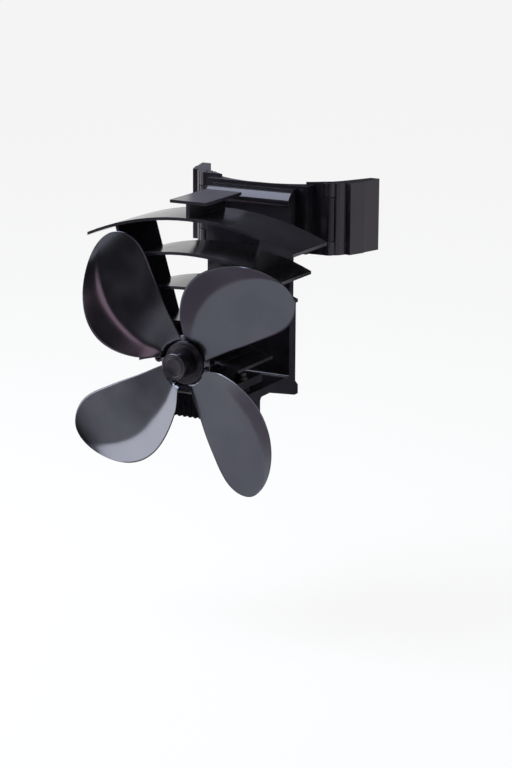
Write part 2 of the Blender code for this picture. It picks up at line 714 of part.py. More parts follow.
def port_centre(side):
    """Middle of a screw port hung under the lowest arch."""
    return (side * PORT_OFFSET, arch_height(ARCH_COUNT - 1, PORT_OFFSET) - PORT_RADIUS + FIN_THICK / 4)


def make_sink():
    """Unites the fins, webs, ring and base, then bores the ring, the ports and the clamp holes."""
    solids = [piece("sink_shape_%d" % i, prism(shape, "Y", sink_front, sink_back), BLACK)
              for i, shape in enumerate(sink_shapes())]
    sink = solids[0]
    sink.name = "cold_sink"
    combine(sink, solids[1:], "UNION")
    ends = (sink_front - CUT_OVERRUN, sink_back + CUT_OVERRUN)
    bm = turned(rod(ring_bore, *ends), forward(0, hub_z))
    for side in (-1, 1):
        x, z = port_centre(side)
        add_turned(bm, rod(PORT_BORE_RADIUS, *ends), forward(x, z), SMALL_STEPS // 2, False)
        bush_hole = CLAMP_RADIUS + BUSH_WALL + 2 * TOUCH_GAP
        hole = rod(bush_hole, base_bottom - CUT_OVERRUN, base_top + CUT_OVERRUN)
        add_turned(bm, hole, upright(side * CLAMP_OFFSET, module_y), SMALL_STEPS, False)
    grub_hole = rod(GRUB_RADIUS + TOUCH_GAP, hub_z, hub_z + ring_radius + CUT_OVERRUN)
    grub = turned(grub_hole, upright(0, grub_y()), SMALL_STEPS // 2)
    combine(sink, [piece("sink_bores", bm, BLACK), piece("sink_grub_hole", grub, BLACK)], "DIFFERENCE")


def grub_y():
    """Place of the screw that locks the motor, half way along it."""
    return (motor_front + motor_back) / 2


# Clamp screws with their bushes and washers

def make_clamps():
    """Each screw passes a washer and an insulating bush, and ends in the hot block."""
    bush_bore = CLAMP_RADIUS + TOUCH_GAP
    bush_low = base_top + TOUCH_GAP
    bush_top = bush_low + BUSH_FLANGE
    washer_low = bush_top + TOUCH_GAP
    head_low = washer_low + WASHER_THICK + TOUCH_GAP
    head_top = head_low + CLAMP_HEAD
    tip = shelf_top - CLAMP_BITE + TOUCH_GAP
    bush_radius = bush_bore + BUSH_WALL
    bush = [(bush_bore, base_bottom), (bush_radius, base_bottom), (bush_radius, bush_low),
            (BUSH_FLANGE_RADIUS, bush_low), (BUSH_FLANGE_RADIUS, bush_top), (bush_bore, bush_top)]
    screw = [(0, tip), (CLAMP_RADIUS, tip), (CLAMP_RADIUS, head_low), (CLAMP_HEAD_RADIUS, head_low),
             (CLAMP_HEAD_RADIUS, head_top), (CLAMP_SOCKET_RADIUS, head_top),
             (CLAMP_SOCKET_RADIUS, head_top - CLAMP_SOCKET_DEPTH), (0, head_top - CLAMP_SOCKET_DEPTH)]
    washer = tube(bush_bore, WASHER_RADIUS, washer_low, washer_low + WASHER_THICK)
    for end, side in SIDES:
        place = upright(side * CLAMP_OFFSET, module_y)
        piece("clamp_bush_" + end, turned(bush, place, SMALL_STEPS, True), PLASTIC)
        piece("clamp_washer_" + end, turned(washer, place, SMALL_STEPS, True), STEEL)
        piece("clamp_screw_" + end, turned(screw, place, SMALL_STEPS), STEEL)


# Motor

def make_motor_case():
    """The drawn can, closed in front but for its bearing boss, and the cap that shuts its back."""
    boss_bore = BEARING_RADIUS + TOUCH_GAP
    boss_radius = boss_bore + BOSS_WALL
    inside = MOTOR_RADIUS - CAN_WALL
    can = [(inside, motor_back), (MOTOR_RADIUS, motor_back), (MOTOR_RADIUS, motor_front),
           (boss_radius, motor_front), (boss_radius, boss_front), (boss_bore, boss_front),
           (boss_bore, motor_front + CAN_FRONT), (inside, motor_front + CAN_FRONT)]
    piece("motor_can", turned(can, forward(0, hub_z), closed=True), STEEL)
    plug = MOTOR_RADIUS - CAN_WALL - TOUCH_GAP
    seat = motor_back + TOUCH_GAP
    cap = [(boss_bore, motor_back - END_CAP_PLUG), (plug, motor_back - END_CAP_PLUG), (plug, seat),
           (MOTOR_RADIUS, seat), (MOTOR_RADIUS, seat + END_CAP_THICK), (boss_bore, seat + END_CAP_THICK)]
    piece("motor_end_cap", turned(cap, forward(0, hub_z), closed=True), PLASTIC)


def make_bearings():
    """A plain bearing in the can's boss and one in the end cap."""
    bore = SHAFT_RADIUS + RUN_CLEARANCE
    for end, low in (("front", boss_front), ("back", motor_back - END_CAP_PLUG)):
        ring = tube(bore, BEARING_RADIUS, low, low + BEARING_LENGTH)
        piece("motor_bearing_" + end, turned(ring, forward(0, hub_z), SMALL_STEPS, True), BRASS)


def make_field_magnets():
    """Two arc magnets against the can's wall."""
    outer = MOTOR_RADIUS - CAN_WALL - TOUCH_GAP
    inner = outer - FIELD_THICK
    low = motor_front + CAN_FRONT + TOUCH_GAP
    for end, side in SIDES:
        plan = arc((0, hub_z), outer, -FIELD_HALF_ANGLE, FIELD_HALF_ANGLE, CORNER_STEPS)
        plan += arc((0, hub_z), inner, FIELD_HALF_ANGLE, -FIELD_HALF_ANGLE, CORNER_STEPS)
        plan = [(side * x, z) for x, z in plan]
        piece("motor_magnet_" + end, prism(plan, "Y", low, low + FIELD_LENGTH), MAGNET)


def make_brushes():
    """Two carbon brushes beside the commutator, carried by the end cap."""
    back = motor_back - END_CAP_PLUG - TOUCH_GAP
    near = COMMUTATOR_RADIUS + TOUCH_GAP
    for end, side in SIDES:
        ends = sorted((side * near, side * (near + BRUSH_LENGTH)))
        plan = box_outline(ends[0], ends[1], hub_z - BRUSH_SIDE / 2, hub_z + BRUSH_SIDE / 2)
        piece("motor_brush_" + end, prism(plan, "Y", back - COMMUTATOR_LENGTH, back), PLASTIC)


def make_terminals():
    """Two solder tabs behind the end cap."""
    low = motor_back + END_CAP_THICK + 2 * TOUCH_GAP
    for end, side in SIDES:
        middle = side * TERMINAL_OFFSET
        plan = box_outline(middle - TERMINAL_THICK / 2, middle + TERMINAL_THICK / 2,
                           hub_z - TERMINAL_WIDTH / 2, hub_z + TERMINAL_WIDTH / 2)
        piece("motor_terminal_" + end, prism(plan, "Y", low, low + TERMINAL_LENGTH), BRASS)


def make_motor_grub():
    """A screw through the ring's wall that stops the motor turning."""
    low = hub_z + ring_bore + TOUCH_GAP / 2
    piece("motor_grub_screw", turned(rod(GRUB_RADIUS, low, low + RING_WALL), upright(0, grub_y()),
                                     SMALL_STEPS // 2), STEEL)


def make_lead(name, side, material):
    """A wire from the module's back edge, up behind the sink and into the motor ring."""
    x = side * TERMINAL_OFFSET
    start_z = shelf_top + CERAMIC_THICK + PELLET_HEIGHT / 2 + 2 * TOUCH_GAP
    module_back = module_y + MODULE_SIDE / 2
    tab_end = motor_back + END_CAP_THICK + 2 * TOUCH_GAP + TERMINAL_LENGTH
    behind = sink_back + LEAD_BACK
    route = [(x, module_back + TOUCH_GAP, start_z), (x, module_back + LEAD_BACK / 2, start_z),
             (x, behind, start_z + LEAD_BACK), (x, behind, hub_z - LEAD_DIVE),
             (x, sink_back - LEAD_BACK, hub_z - LEAD_RADIUS), (x, tab_end + LEAD_BACK, hub_z),
             (x, tab_end + TOUCH_GAP, hub_z)]
    curve = bpy.data.curves.new(name, "CURVE")
    curve.dimensions = "3D"
    curve.bevel_depth = LEAD_RADIUS
    curve.bevel_resolution = 2
    curve.use_fill_caps = True
    points = through([Vector(p) for p in route], lead_steps)
    spline = curve.splines.new("POLY")
    spline.points.add(len(points) - 1)
    for knot, place in zip(spline.points, points):
        knot.co = (*place, 1)
    curve.materials.append(material)
    lead = bpy.data.objects.new(name, curve)
    bpy.context.scene.collection.objects.link(lead)


def through(route, count_between):
    """Points of a smooth curve through a route's own points, its ends left straight."""
    knots = [2 * route[0] - route[1]] + route + [2 * route[-1] - route[-2]]
    points = []
    for a, b, c, d in zip(knots, knots[1:], knots[2:], knots[3:]):
        count = count_between(b, c)
        for i in range(count):
            t = i / count
            points.append((2 * b + (c - a) * t + (2 * a - 5 * b + 4 * c - d) * t * t
                           + (3 * b - a - 3 * c + d) * t * t * t) / 2)
    return points + [route[-1].copy()]


def lead_steps(here, there):
    """How many straight bits a stretch of lead is drawn with."""
    return max(1, round((there - here).length / LEAD_STEP))


# Rotor

def make_armature():
    """A slotted core on the shaft."""
    back = motor_front + CAN_FRONT + ARMATURE_SETBACK
    slot = SLOT_HALF_WIDTH / ARMATURE_RADIUS
    plan = []
    for pole in range(ARMATURE_POLES):
        start = 2 * math.pi * pole / ARMATURE_POLES
        end = start + 2 * math.pi / ARMATURE_POLES
        plan += arc((0, hub_z), ARMATURE_RADIUS, start + slot, end - slot, CORNER_STEPS)
        neck = SLOT_HALF_WIDTH / SLOT_FLOOR_RADIUS
        plan += arc((0, hub_z), SLOT_FLOOR_RADIUS, end - neck, end + neck, 2)
    low = back - TOUCH_GAP
    core = piece("motor_armature", prism(plan, "Y", low, low + ARMATURE_LENGTH), STEEL)
    bore = piece("motor_armature_bore", turned(rod(SHAFT_RADIUS + TOUCH_GAP, low - CUT_OVERRUN,
                                                   low + ARMATURE_LENGTH + CUT_OVERRUN),
                                               forward(0, hub_z), SMALL_STEPS), STEEL)
    combine(core, [bore], "DIFFERENCE")


def make_commutator():
    """A copper ring behind the armature, where the brushes bear."""
    high = motor_back - END_CAP_PLUG - 2 * TOUCH_GAP
    piece("motor_commutator", turned(tube(SHAFT_RADIUS + TOUCH_GAP, COMMUTATOR_RADIUS,
                                          high - COMMUTATOR_LENGTH, high), forward(0, hub_z),
                                     SMALL_STEPS, True), BRASS)


def make_shaft():
    """The motor's shaft, from its back bearing to the fan's boss."""
    tip = fan_back - BOSS_LENGTH + TOUCH_GAP
    heel = motor_back + END_CAP_THICK
    piece("motor_shaft", turned(rod(SHAFT_RADIUS, tip, heel), forward(0, hub_z), SMALL_STEPS), STEEL)


def make_boss():
    """A flanged brass boss that carries the spider and is locked to the shaft."""
    bore = SHAFT_RADIUS + TOUCH_GAP
    front = fan_back - BOSS_LENGTH
    step = fan_back - BOSS_FLANGE
    profile = [(bore, fan_back), (BOSS_FLANGE_RADIUS, fan_back), (BOSS_FLANGE_RADIUS, step),
               (BOSS_RADIUS, step), (BOSS_RADIUS, front), (bore, front)]
    boss = piece("hub_boss", turned(profile, forward(0, hub_z), closed=True), BRASS)
    combine(boss, [hub_grub_hole("hub_boss_hole")], "DIFFERENCE")


def hub_grub_frame():
    """Axis of the hub's radial screw: it points out from the shaft, down and to the left."""
    y = cap_back - CAP_FLANGE - HUB_SCREW_BACK
    lean = Matrix.Rotation(HUB_SCREW_TURN, 4, "Y")
    return Matrix.Translation((0, y, hub_z)) @ lean


def hub_grub_hole(name):
    """Cutter for the radial screw hole through boss and cap."""
    profile = rod(GRUB_RADIUS + TOUCH_GAP, SHAFT_RADIUS, CAP_RADIUS + CUT_OVERRUN)
    return piece(name, turned(profile, hub_grub_frame(), SMALL_STEPS // 2), BLACK)


def make_hub_grub():
    """The radial screw, sunk a little below the cap's wall."""
    profile = rod(GRUB_RADIUS, SHAFT_RADIUS + TOUCH_GAP, CAP_RADIUS - 2 * TOUCH_GAP)
    piece("hub_grub_screw", turned(profile, hub_grub_frame(), SMALL_STEPS // 2), STEEL)


def make_cap():
    """The black cap: a flange that presses on the spider and a barrel with a dished face."""
    bore = BOSS_RADIUS + TOUCH_GAP
    floor = fan_back - BOSS_LENGTH - TOUCH_GAP
    shoulder = cap_back - CAP_FLANGE
    profile = [(0, floor), (bore, floor), (bore, cap_back), (CAP_FLANGE_RADIUS, cap_back),
               (CAP_FLANGE_RADIUS, shoulder), (CAP_RADIUS, shoulder), (CAP_RADIUS, cap_front + CAP_EDGE),
               (CAP_RADIUS - CAP_EDGE, cap_front), (CAP_RADIUS - CAP_LIP, cap_front + CAP_DISH),
               (0, cap_front + CAP_DISH)]
    cap = piece("hub_cap", turned(profile, forward(0, hub_z)), HUB_BLACK)
    combine(cap, [hub_grub_hole("hub_cap_hole")], "DIFFERENCE")


def rim_rows():
    """Pairs of facing points down the blade's two edges, more closely spaced than the table."""
    lead = [Vector(p) for p in BLADE_LEAD + (BLADE_TIP,)]
    trail = [Vector(p) for p in BLADE_TRAIL + (BLADE_TIP,)]
    loop = lead + trail[-2::-1]
    fine = through(loop, lambda here, there: BLADE_SPLIT_COUNT)
    return list(zip(fine[:len(fine) // 2], fine[:len(fine) // 2:-1])), fine[len(fine) // 2]


def make_fan():
    """The pressed spider: a disc and four twisted, cupped blades, all one sheet."""
    bore = BOSS_RADIUS + TOUCH_GAP
    disc = tube(bore, SPIDER_RADIUS, sheet_front, sheet_back)
    spider = piece("fan_blades", turned(disc, forward(0, hub_z), closed=True), BLADE_GREY)
    middle = (sheet_front + sheet_back) / 2
    blades = []
    for k in range(BLADE_COUNT):
        turn = BLADE_PHASE + 2 * math.pi * k / BLADE_COUNT
        bm = bmesh.new()
        back = blade_sheet(bm, turn, middle + BLADE_THICK / 2)
        front = blade_sheet(bm, turn, middle - BLADE_THICK / 2)
        close_blade(bm, back, front)
        blades.append(piece("fan_blade_%d" % k, bm, BLADE_GREY))
    combine(spider, blades, "UNION")


def blade_vert(bm, turn, level, place):
    """A corner of the sheet, turned to its blade's place round the hub."""
    out, across, rise = place
    x = out * math.cos(turn) - across * math.sin(turn)
    z = hub_z + out * math.sin(turn) + across * math.cos(turn)
    return bm.verts.new((x, level - rise, z))


def blade_sheet(bm, turn, level):
    """Rows of corners from the root to the tip, cupped between the edges, and the tip itself."""
    pairs, tip = rim_rows()
    rows = []
    for i, (lead, trail) in enumerate(pairs):
        share = i / len(pairs)
        past_start = max(0, share - BLADE_CUP_START)
        hollow = BLADE_CUP * min(1, past_start / BLADE_CUP_GROWTH, (1 - share) / BLADE_CUP_GROWTH)
        row = []
        for j in range(BLADE_CHORD_STEPS + 1):
            across = j / BLADE_CHORD_STEPS
            place = lead.lerp(trail, across)
            place.z = max(0, place.z) - hollow * (1 - (2 * across - 1) ** 2)
            row.append(blade_vert(bm, turn, level, place))
        rows.append(row)
    return rows, blade_vert(bm, turn, level, tip)


def close_blade(bm, back, front):
    """Faces of both sheets and of the rim between them."""
    for rows, tip in (back, front):
        for low, high in zip(rows, rows[1:]):
            for j in range(BLADE_CHORD_STEPS):
                bm.faces.new((low[j], low[j + 1], high[j + 1], high[j]))
        for j in range(BLADE_CHORD_STEPS):
            bm.faces.new((rows[-1][j], rows[-1][j + 1], tip))
    rims = [[row[0] for row in rows] + [tip] + [row[-1] for row in reversed(rows)] + rows[0][-2:0:-1]
            for rows, tip in (back, front)]
    count = len(rims[0])
    for j in range(count):
        near, far = j, (j + 1) % count
        bm.faces.new((rims[0][near], rims[0][far], rims[1][far], rims[1][near]))


clear_scene()
make_saddle()
make_back_screws()
for side_name, side_sign in SIDES:
    make_pin("hinge_pin_" + side_name, side_sign)
    make_wing("wing_" + side_name, side_sign)
    make_magnets("wing_magnet_" + side_name, side_sign)
    make_keeper("wing_keeper_" + side_name, side_sign)
make_spacer()
make_hot_plate()
make_module()
make_sink()
make_clamps()
make_motor_case()
make_bearings()
make_field_magnets()
make_brushes()
make_terminals()
make_motor_grub()
make_lead("lead_red", 1, RED_LEAD)
make_lead("lead_black", -1, BLACK_LEAD)
make_armature()
make_commutator()
make_shaft()
make_boss()
make_hub_grub()
make_cap()
make_fan()
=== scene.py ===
import json
import math

import bmesh
import bpy
import numpy as np
from mathutils import Matrix, Vector

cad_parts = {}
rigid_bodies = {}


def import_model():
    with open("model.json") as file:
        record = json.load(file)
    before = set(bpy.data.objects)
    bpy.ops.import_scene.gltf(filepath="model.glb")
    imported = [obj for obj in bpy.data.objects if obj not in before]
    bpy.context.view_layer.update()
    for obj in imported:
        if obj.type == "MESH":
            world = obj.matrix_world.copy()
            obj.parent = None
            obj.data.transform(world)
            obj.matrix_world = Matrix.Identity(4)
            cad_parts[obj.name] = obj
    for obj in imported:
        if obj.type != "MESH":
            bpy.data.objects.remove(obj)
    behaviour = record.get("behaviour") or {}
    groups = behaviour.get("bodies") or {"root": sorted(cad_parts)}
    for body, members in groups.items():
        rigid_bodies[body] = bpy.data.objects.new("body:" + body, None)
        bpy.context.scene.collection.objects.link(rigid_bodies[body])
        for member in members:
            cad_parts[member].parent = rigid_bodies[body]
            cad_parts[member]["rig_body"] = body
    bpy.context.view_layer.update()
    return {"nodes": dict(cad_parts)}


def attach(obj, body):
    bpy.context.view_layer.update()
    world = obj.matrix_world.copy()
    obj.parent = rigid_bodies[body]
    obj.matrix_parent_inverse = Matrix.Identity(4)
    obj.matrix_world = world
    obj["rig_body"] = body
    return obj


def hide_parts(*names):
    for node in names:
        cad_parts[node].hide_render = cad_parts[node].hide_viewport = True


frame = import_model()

# Room
# The fan hangs above a plain pale floor in a room that is white behind and at the left and dark
# in front. Soft lamps stand round it, and matt cards behind and below it tone its reflections.
FLOOR_Z = -0.26
FLOOR_REACH = 9.0
FLOOR_FRONT = 1.15
FLOOR_SHADER = {"Base Color": (0.90, 0.90, 0.90, 1), "Roughness": 0.8, "Specular IOR Level": 0.1}
FLOOR_GLOW_SHARE = 0.86
SHEET_FACES = [(0, 1, 3, 2)]


def new_mesh_object(name, verts, faces):
    """An object at the origin from arrays of points and of faces' point numbers."""
    mesh = bpy.data.meshes.new(name)
    mesh.from_pydata(np.asarray(verts, float).tolist(), [], np.asarray(faces).tolist())
    mesh.update()
    made = bpy.data.objects.new(name, mesh)
    bpy.context.scene.collection.objects.link(made)
    return made


def socket_values(node, values):
    """Sets a node's own inputs, by name or by number."""
    for socket, value in values.items():
        node.inputs[socket].default_value = value


def join(tree, node, sources):
    """Links outputs of other nodes to a node's inputs, which are given by name or by number."""
    for socket, source in sources.items():
        tree.links.new(source, node.inputs[socket])


def add_node(tree, kind, values=None, joined=None, **settings):
    """A new node in a material's, a group's or the world's tree. It gets its settings first, then
    the values of its inputs, then the outputs that they are joined to."""
    made = tree.nodes.new("ShaderNode" + kind)
    for setting, value in settings.items():
        setattr(made, setting, value)
    socket_values(made, values or {})
    join(tree, made, joined or {})
    return made


def new_finish(name, values):
    """A new material, its tree, and its shader with values for the shader's own inputs."""
    made = bpy.data.materials.new(name)
    made.use_nodes = True
    shader = made.node_tree.nodes["Principled BSDF"]
    socket_values(shader, values)
    return made, made.node_tree, shader


def floor_points(reach, front, height):
    """A level sheet: x runs from -reach to reach and y from -front to reach, z = height."""
    x, y = np.meshgrid([-reach, reach], [-front, reach])
    return np.stack([x, y, np.full_like(x, height)], -1).reshape(-1, 3)


def floor_finish():
    """Pale matt floor that shows the fan's shadow, lifted towards white where it is looked at."""
    made, tree, shader = new_finish("pale_floor", FLOOR_SHADER)
    path = add_node(tree, "LightPath").outputs
    seen = add_node(tree, "Math", operation="MAXIMUM",
                    joined={0: path["Is Camera Ray"], 1: path["Is Glossy Ray"]})
    through = add_node(tree, "Math", operation="MAXIMUM",
                       joined={0: seen.outputs[0], 1: path["Is Transmission Ray"]})
    share = add_node(tree, "Math", {1: FLOOR_GLOW_SHARE}, {0: through.outputs[0]},
                     operation="MULTIPLY")
    glow = add_node(tree, "Emission")
    mix = add_node(tree, "MixShader",
                   joined={"Fac": share.outputs[0], 1: shader.outputs[0], 2: glow.outputs[0]})
    join(tree, tree.nodes["Material Output"], {"Surface": mix.outputs[0]})
    return made


floor = new_mesh_object("floor", floor_points(FLOOR_REACH, FLOOR_FRONT, FLOOR_Z), SHEET_FACES)
floor.data.materials.append(floor_finish())

# Each card, which mirror rays alone see: a corner, the two sides that start there, its colour
CARDS = {
    "grey_card": ((-0.14, 0.150, FLOOR_Z), (0.32, 0, 0), (0, 0, 0.90), (0.18, 0.17, 0.20, 1)),
    "dark_card": ((-0.08, 0.145, 0.0), (0.26, 0, 0), (0, 0, 0.64), (0.015, 0.014, 0.018, 1)),
    "low_card": ((-0.34, -0.45, FLOOR_Z + 0.004), (0.64, 0, 0), (0, 0.55, 0),
                 (0.42, 0.32, 0.34, 1)),
}
CARD_ROUGHNESS = 0.9
# The low card's soft end: its direction, and where along that the card is clear and where full
LOW_CARD_FADE = ((0.74, 0.673, 0), -0.270, -0.228)


def card_points(corner, along, up):
    """A flat sheet's corners: corner + a * along + b * up, with a and b each 0 or 1."""
    a, b = np.meshgrid([0, 1], [0, 1])
    places = np.array(corner) + a[..., None] * np.array(along) + b[..., None] * np.array(up)
    return places.reshape(-1, 3)


def fade_out(finish, direction, clear, full):
    """Soft end of a card: it is clear where dot(place, direction) is below one value and full
    above the other."""
    tree = finish.node_tree
    place = add_node(tree, "TexCoord")
    along = add_node(tree, "VectorMath", {1: direction}, {0: place.outputs["Object"]},
                     operation="DOT_PRODUCT")
    ramp = add_node(tree, "MapRange", {"From Min": clear, "From Max": full},
                    {"Value": along.outputs["Value"]}, interpolation_type="SMOOTHSTEP")
    join(tree, tree.nodes["Principled BSDF"], {"Alpha": ramp.outputs["Result"]})


for card_name, (corner, along, up, card_colour) in CARDS.items():
    card = new_mesh_object(card_name, card_points(corner, along, up), SHEET_FACES)
    card_shader = {"Base Color": card_colour, "Roughness": CARD_ROUGHNESS}
    card.data.materials.append(new_finish(card_name, card_shader)[0])
    card.visible_camera = card.visible_diffuse = False
    card.visible_shadow = card.visible_transmission = False
fade_out(bpy.data.materials["low_card"], *LOW_CARD_FADE)

# Each bright side: its direction, and the limits of dot(direction, side) and of the light
ROOM_SIDES = (((-0.95, -0.25, 0.15), (0.55, 0.98, 0.06, 1.0)),
              ((0, 1, 0.1), (-0.10, 0.45, 0.06, 0.85)))
RAMP_LIMITS = ("From Min", "From Max", "To Min", "To Max")
DIFFUSE_SHARE = 0.7
WHITE = (1, 1, 1, 1)


def build_world():
    """White to the camera. Mirror rays see the larger of two ramps, of dot(direction, side), one
    for the left and one for behind, and matt surfaces get the share DIFFUSE_SHARE of that."""
    world = bpy.data.worlds.new("studio")
    bpy.context.scene.world = world
    world.use_nodes = True
    tree = world.node_tree
    tree.nodes.clear()
    place = add_node(tree, "TexCoord")
    ramps = []
    for towards, limits in ROOM_SIDES:
        side = add_node(tree, "VectorMath", {1: Vector(towards).normalized()},
                        {0: place.outputs["Generated"]}, operation="DOT_PRODUCT")
        ramps.append(add_node(tree, "MapRange", dict(zip(RAMP_LIMITS, limits)),
                              {"Value": side.outputs["Value"]}, interpolation_type="SMOOTHSTEP"))
    room_light = add_node(tree, "Math", operation="MAXIMUM",
                          joined={0: ramps[0].outputs["Result"], 1: ramps[1].outputs["Result"]})
    path = add_node(tree, "LightPath").outputs
    mirror = add_node(tree, "MapRange", {"To Min": DIFFUSE_SHARE, "To Max": 1},
                      {"Value": path["Is Glossy Ray"]})
    light = add_node(tree, "Math", operation="MULTIPLY",
                     joined={0: room_light.outputs[0], 1: mirror.outputs["Result"]})
    room = add_node(tree, "Background", {"Color": WHITE}, {"Strength": light.outputs[0]})
    white = add_node(tree, "Background", {"Color": WHITE})
    either = add_node(tree, "Math", operation="MAXIMUM",
                      joined={0: path["Is Camera Ray"], 1: path["Is Transmission Ray"]})
    mix = add_node(tree, "MixShader",
                   joined={"Fac": either.outputs[0], 1: room.outputs[0], 2: white.outputs[0]})
    add_node(tree, "OutputWorld", joined={"Surface": mix.outputs[0]})


build_world()

# Each lamp: its place, width, height, brightness and colour
LAMPS = {
    "lamp_high": ((-0.50, -0.38, 0.74), 0.62, 0.80, 8.5, (0.78, 0.88, 1.0)),
    "lamp_window": ((-0.83, -0.60, 0.15), 0.56, 0.58, 3.2, (1.0, 1.0, 0.98)),
    "lamp_low": ((-0.09, -1.30, 0.115), 0.36, 0.22, 1.9, (1.0, 0.68, 0.76)),
    "lamp_right": ((1.00, 0.30, 0.20), 0.40, 0.60, 0.8, (1.0, 1.0, 1.0)),
}
LAMP_AIM = (0, -0.05, -0.07)


def add_lamp(name, place, wide, high, brightness, colour):
    """A soft lamp that faces the middle of the fan: power = brightness * pi * its area."""
    data = bpy.data.lights.new(name, "AREA")
    data.shape = "RECTANGLE"
    data.size = wide
    data.size_y = high
    data.energy = brightness * math.pi * wide * high
    data.color = colour
    lamp = bpy.data.objects.new(name, data)
    lamp.location = place
    aim = Vector(LAMP_AIM) - Vector(place)
    lamp.rotation_euler = aim.to_track_quat("-Z", "Y").to_euler()
    lamp.visible_camera = False
    bpy.context.scene.collection.objects.link(lamp)


for lamp_name, lamp_values in LAMPS.items():
    add_lamp(lamp_name, *lamp_values)

CAMERA_PLACE = (0.7337, -1.3516, 0.2786)
CAMERA_AZIMUTH = 28.519
CAMERA_ELEVATION = 14.376
CAMERA_ROLL = 0.300
CAMERA_LENS = 110.07
CAMERA_SENSOR = 36
CAMERA_FAR_END = 50
camera_data = bpy.data.cameras.new("camera")
camera_data.lens = CAMERA_LENS
camera_data.sensor_width = CAMERA_SENSOR
camera_data.clip_end = CAMERA_FAR_END
camera = bpy.data.objects.new("camera", camera_data)
bpy.context.scene.collection.objects.link(camera)
camera_turn = (Matrix.Rotation(math.radians(CAMERA_AZIMUTH), 4, "Z")
               @ Matrix.Rotation(math.radians(90 - CAMERA_ELEVATION), 4, "X")
               @ Matrix.Rotation(math.radians(CAMERA_ROLL), 4, "Z"))
camera.matrix_world = Matrix.Translation(CAMERA_PLACE) @ camera_turn
bpy.context.scene.camera = camera
bpy.context.scene.view_settings.view_transform = "Standard"

# Bracket saddle
# Black anodised aluminium, extruded and then milled for the hinges and the screws.
# Its two lands rest on what carries the fan and hold the rest out from it.
FINE_GRAIN_SCALE = 2600
CLOUD_SCALE = 38
CLOUD_FROM = 0.42
CLOUD_TO = 0.72
LINES_IN_DYE = 0.35
LYING_FROM = 0.55
LYING_TO = 0.98
SPECK_SCALE = 420
SPECK_ROUGHNESS = 0.7
# Light grey mixed in on faces that point up: partly dust, partly a painted sheen standing in for
# the light those tops mirror.
DUST_AND_SHEEN_COLOUR = (0.42, 0.41, 0.40, 1)
FINE_IN_HEIGHT = 0.4
RELIEF_DEPTH = 0.0001
GROUP_OUTPUTS = [("Colour", "NodeSocketColor"), ("Roughness", "NodeSocketFloat"),
                 ("Height", "NodeSocketFloat")]


def effect_group(name, ins, outs):
    """An empty shader node group with named inputs and outputs, and its two end nodes."""
    group = bpy.data.node_groups.new(name, "ShaderNodeTree")
    for label, kind, value in ins:
        made = group.interface.new_socket(name=label, in_out="INPUT", socket_type=kind)
        made.default_value = value
    for label, kind in outs:
        group.interface.new_socket(name=label, in_out="OUTPUT", socket_type=kind)
    return group, group.nodes.new("NodeGroupInput"), group.nodes.new("NodeGroupOutput")


def build_anodised():
    """Dyed anodic coat. Fine grain drawn out along one direction, cloudy dye, and a little dust
    with
    a painted sheen on what faces up: colour = mix(dye, pale, cloud) + dust and painted sheen,
    height = drawn grain + fine grain."""
    group, gin, gout = effect_group(
        "anodised_coat",
        [("Dye", "NodeSocketColor", (0.01, 0.01, 0.01, 1)),
         ("Pale Dye", "NodeSocketColor", (0.03, 0.03, 0.03, 1)),
         ("Stretch", "NodeSocketVector", (1, 1, 1)),
         ("Grain Scale", "NodeSocketFloat", 900.0),
         ("Roughness", "NodeSocketFloat", 0.3),
         ("Roughness Spread", "NodeSocketFloat", 0.08),
         ("Dust And Sheen", "NodeSocketFloat", 0.05)],
        GROUP_OUTPUTS)
    given = gin.outputs
    place = add_node(group, "TexCoord").outputs["Object"]
    drawn = add_node(group, "VectorMath", operation="MULTIPLY",
                     joined={0: place, 1: given["Stretch"]})
    lines = add_node(group, "TexNoise", {"Detail": 3},
                     {"Vector": drawn.outputs[0], "Scale": given["Grain Scale"]})
    fine = add_node(group, "TexNoise", {"Scale": FINE_GRAIN_SCALE, "Detail": 1}, {"Vector": place})
    cloud = add_node(group, "TexNoise", {"Scale": CLOUD_SCALE, "Detail": 4}, {"Vector": place})
    blotch = add_node(group, "MapRange", {"From Min": CLOUD_FROM, "From Max": CLOUD_TO},
                      {"Value": cloud.outputs["Fac"]})
    both = add_node(group, "Math", {1: LINES_IN_DYE},
                    {0: lines.outputs["Fac"], 2: blotch.outputs["Result"]},
                    operation="MULTIPLY_ADD")
    dye = add_node(group, "Mix", data_type="RGBA",
                   joined={"Factor": both.outputs[0], "A": given["Dye"], "B": given["Pale Dye"]})
    # Faces that point up get a lighter grey: some dust, and a painted sheen that brightens the tops
    # where they would mirror the lit room.
    facing = add_node(group, "NewGeometry")
    up = add_node(group, "SeparateXYZ", joined={0: facing.outputs["Normal"]})
    lying = add_node(group, "MapRange", {"From Min": LYING_FROM, "From Max": LYING_TO},
                     {"Value": up.outputs["Z"]})
    specks = add_node(group, "TexNoise",
                      {"Scale": SPECK_SCALE, "Detail": 5, "Roughness": SPECK_ROUGHNESS},
                      {"Vector": place})
    patchy = add_node(group, "Math", operation="MULTIPLY",
                      joined={0: lying.outputs["Result"], 1: specks.outputs["Fac"]})
    amount = add_node(group, "Math", operation="MULTIPLY", use_clamp=True,
                      joined={0: patchy.outputs[0], 1: given["Dust And Sheen"]})
    dust_and_sheen_mix = add_node(group, "Mix", {"B": DUST_AND_SHEEN_COLOUR},
                     {"Factor": amount.outputs[0], "A": dye.outputs["Result"]}, data_type="RGBA")
    spread = add_node(group, "Math", operation="MULTIPLY_ADD",
                      joined={0: both.outputs[0], 1: given["Roughness Spread"],
                              2: given["Roughness"]})
    height = add_node(group, "Math", {1: FINE_IN_HEIGHT},
                      {0: fine.outputs["Fac"], 2: lines.outputs["Fac"]}, operation="MULTIPLY_ADD")
    join(group, gout, {"Colour": dust_and_sheen_mix.outputs["Result"], "Roughness": spread.outputs[0],
                       "Height": height.outputs[0]})
    return group


anodised_coat = build_anodised()


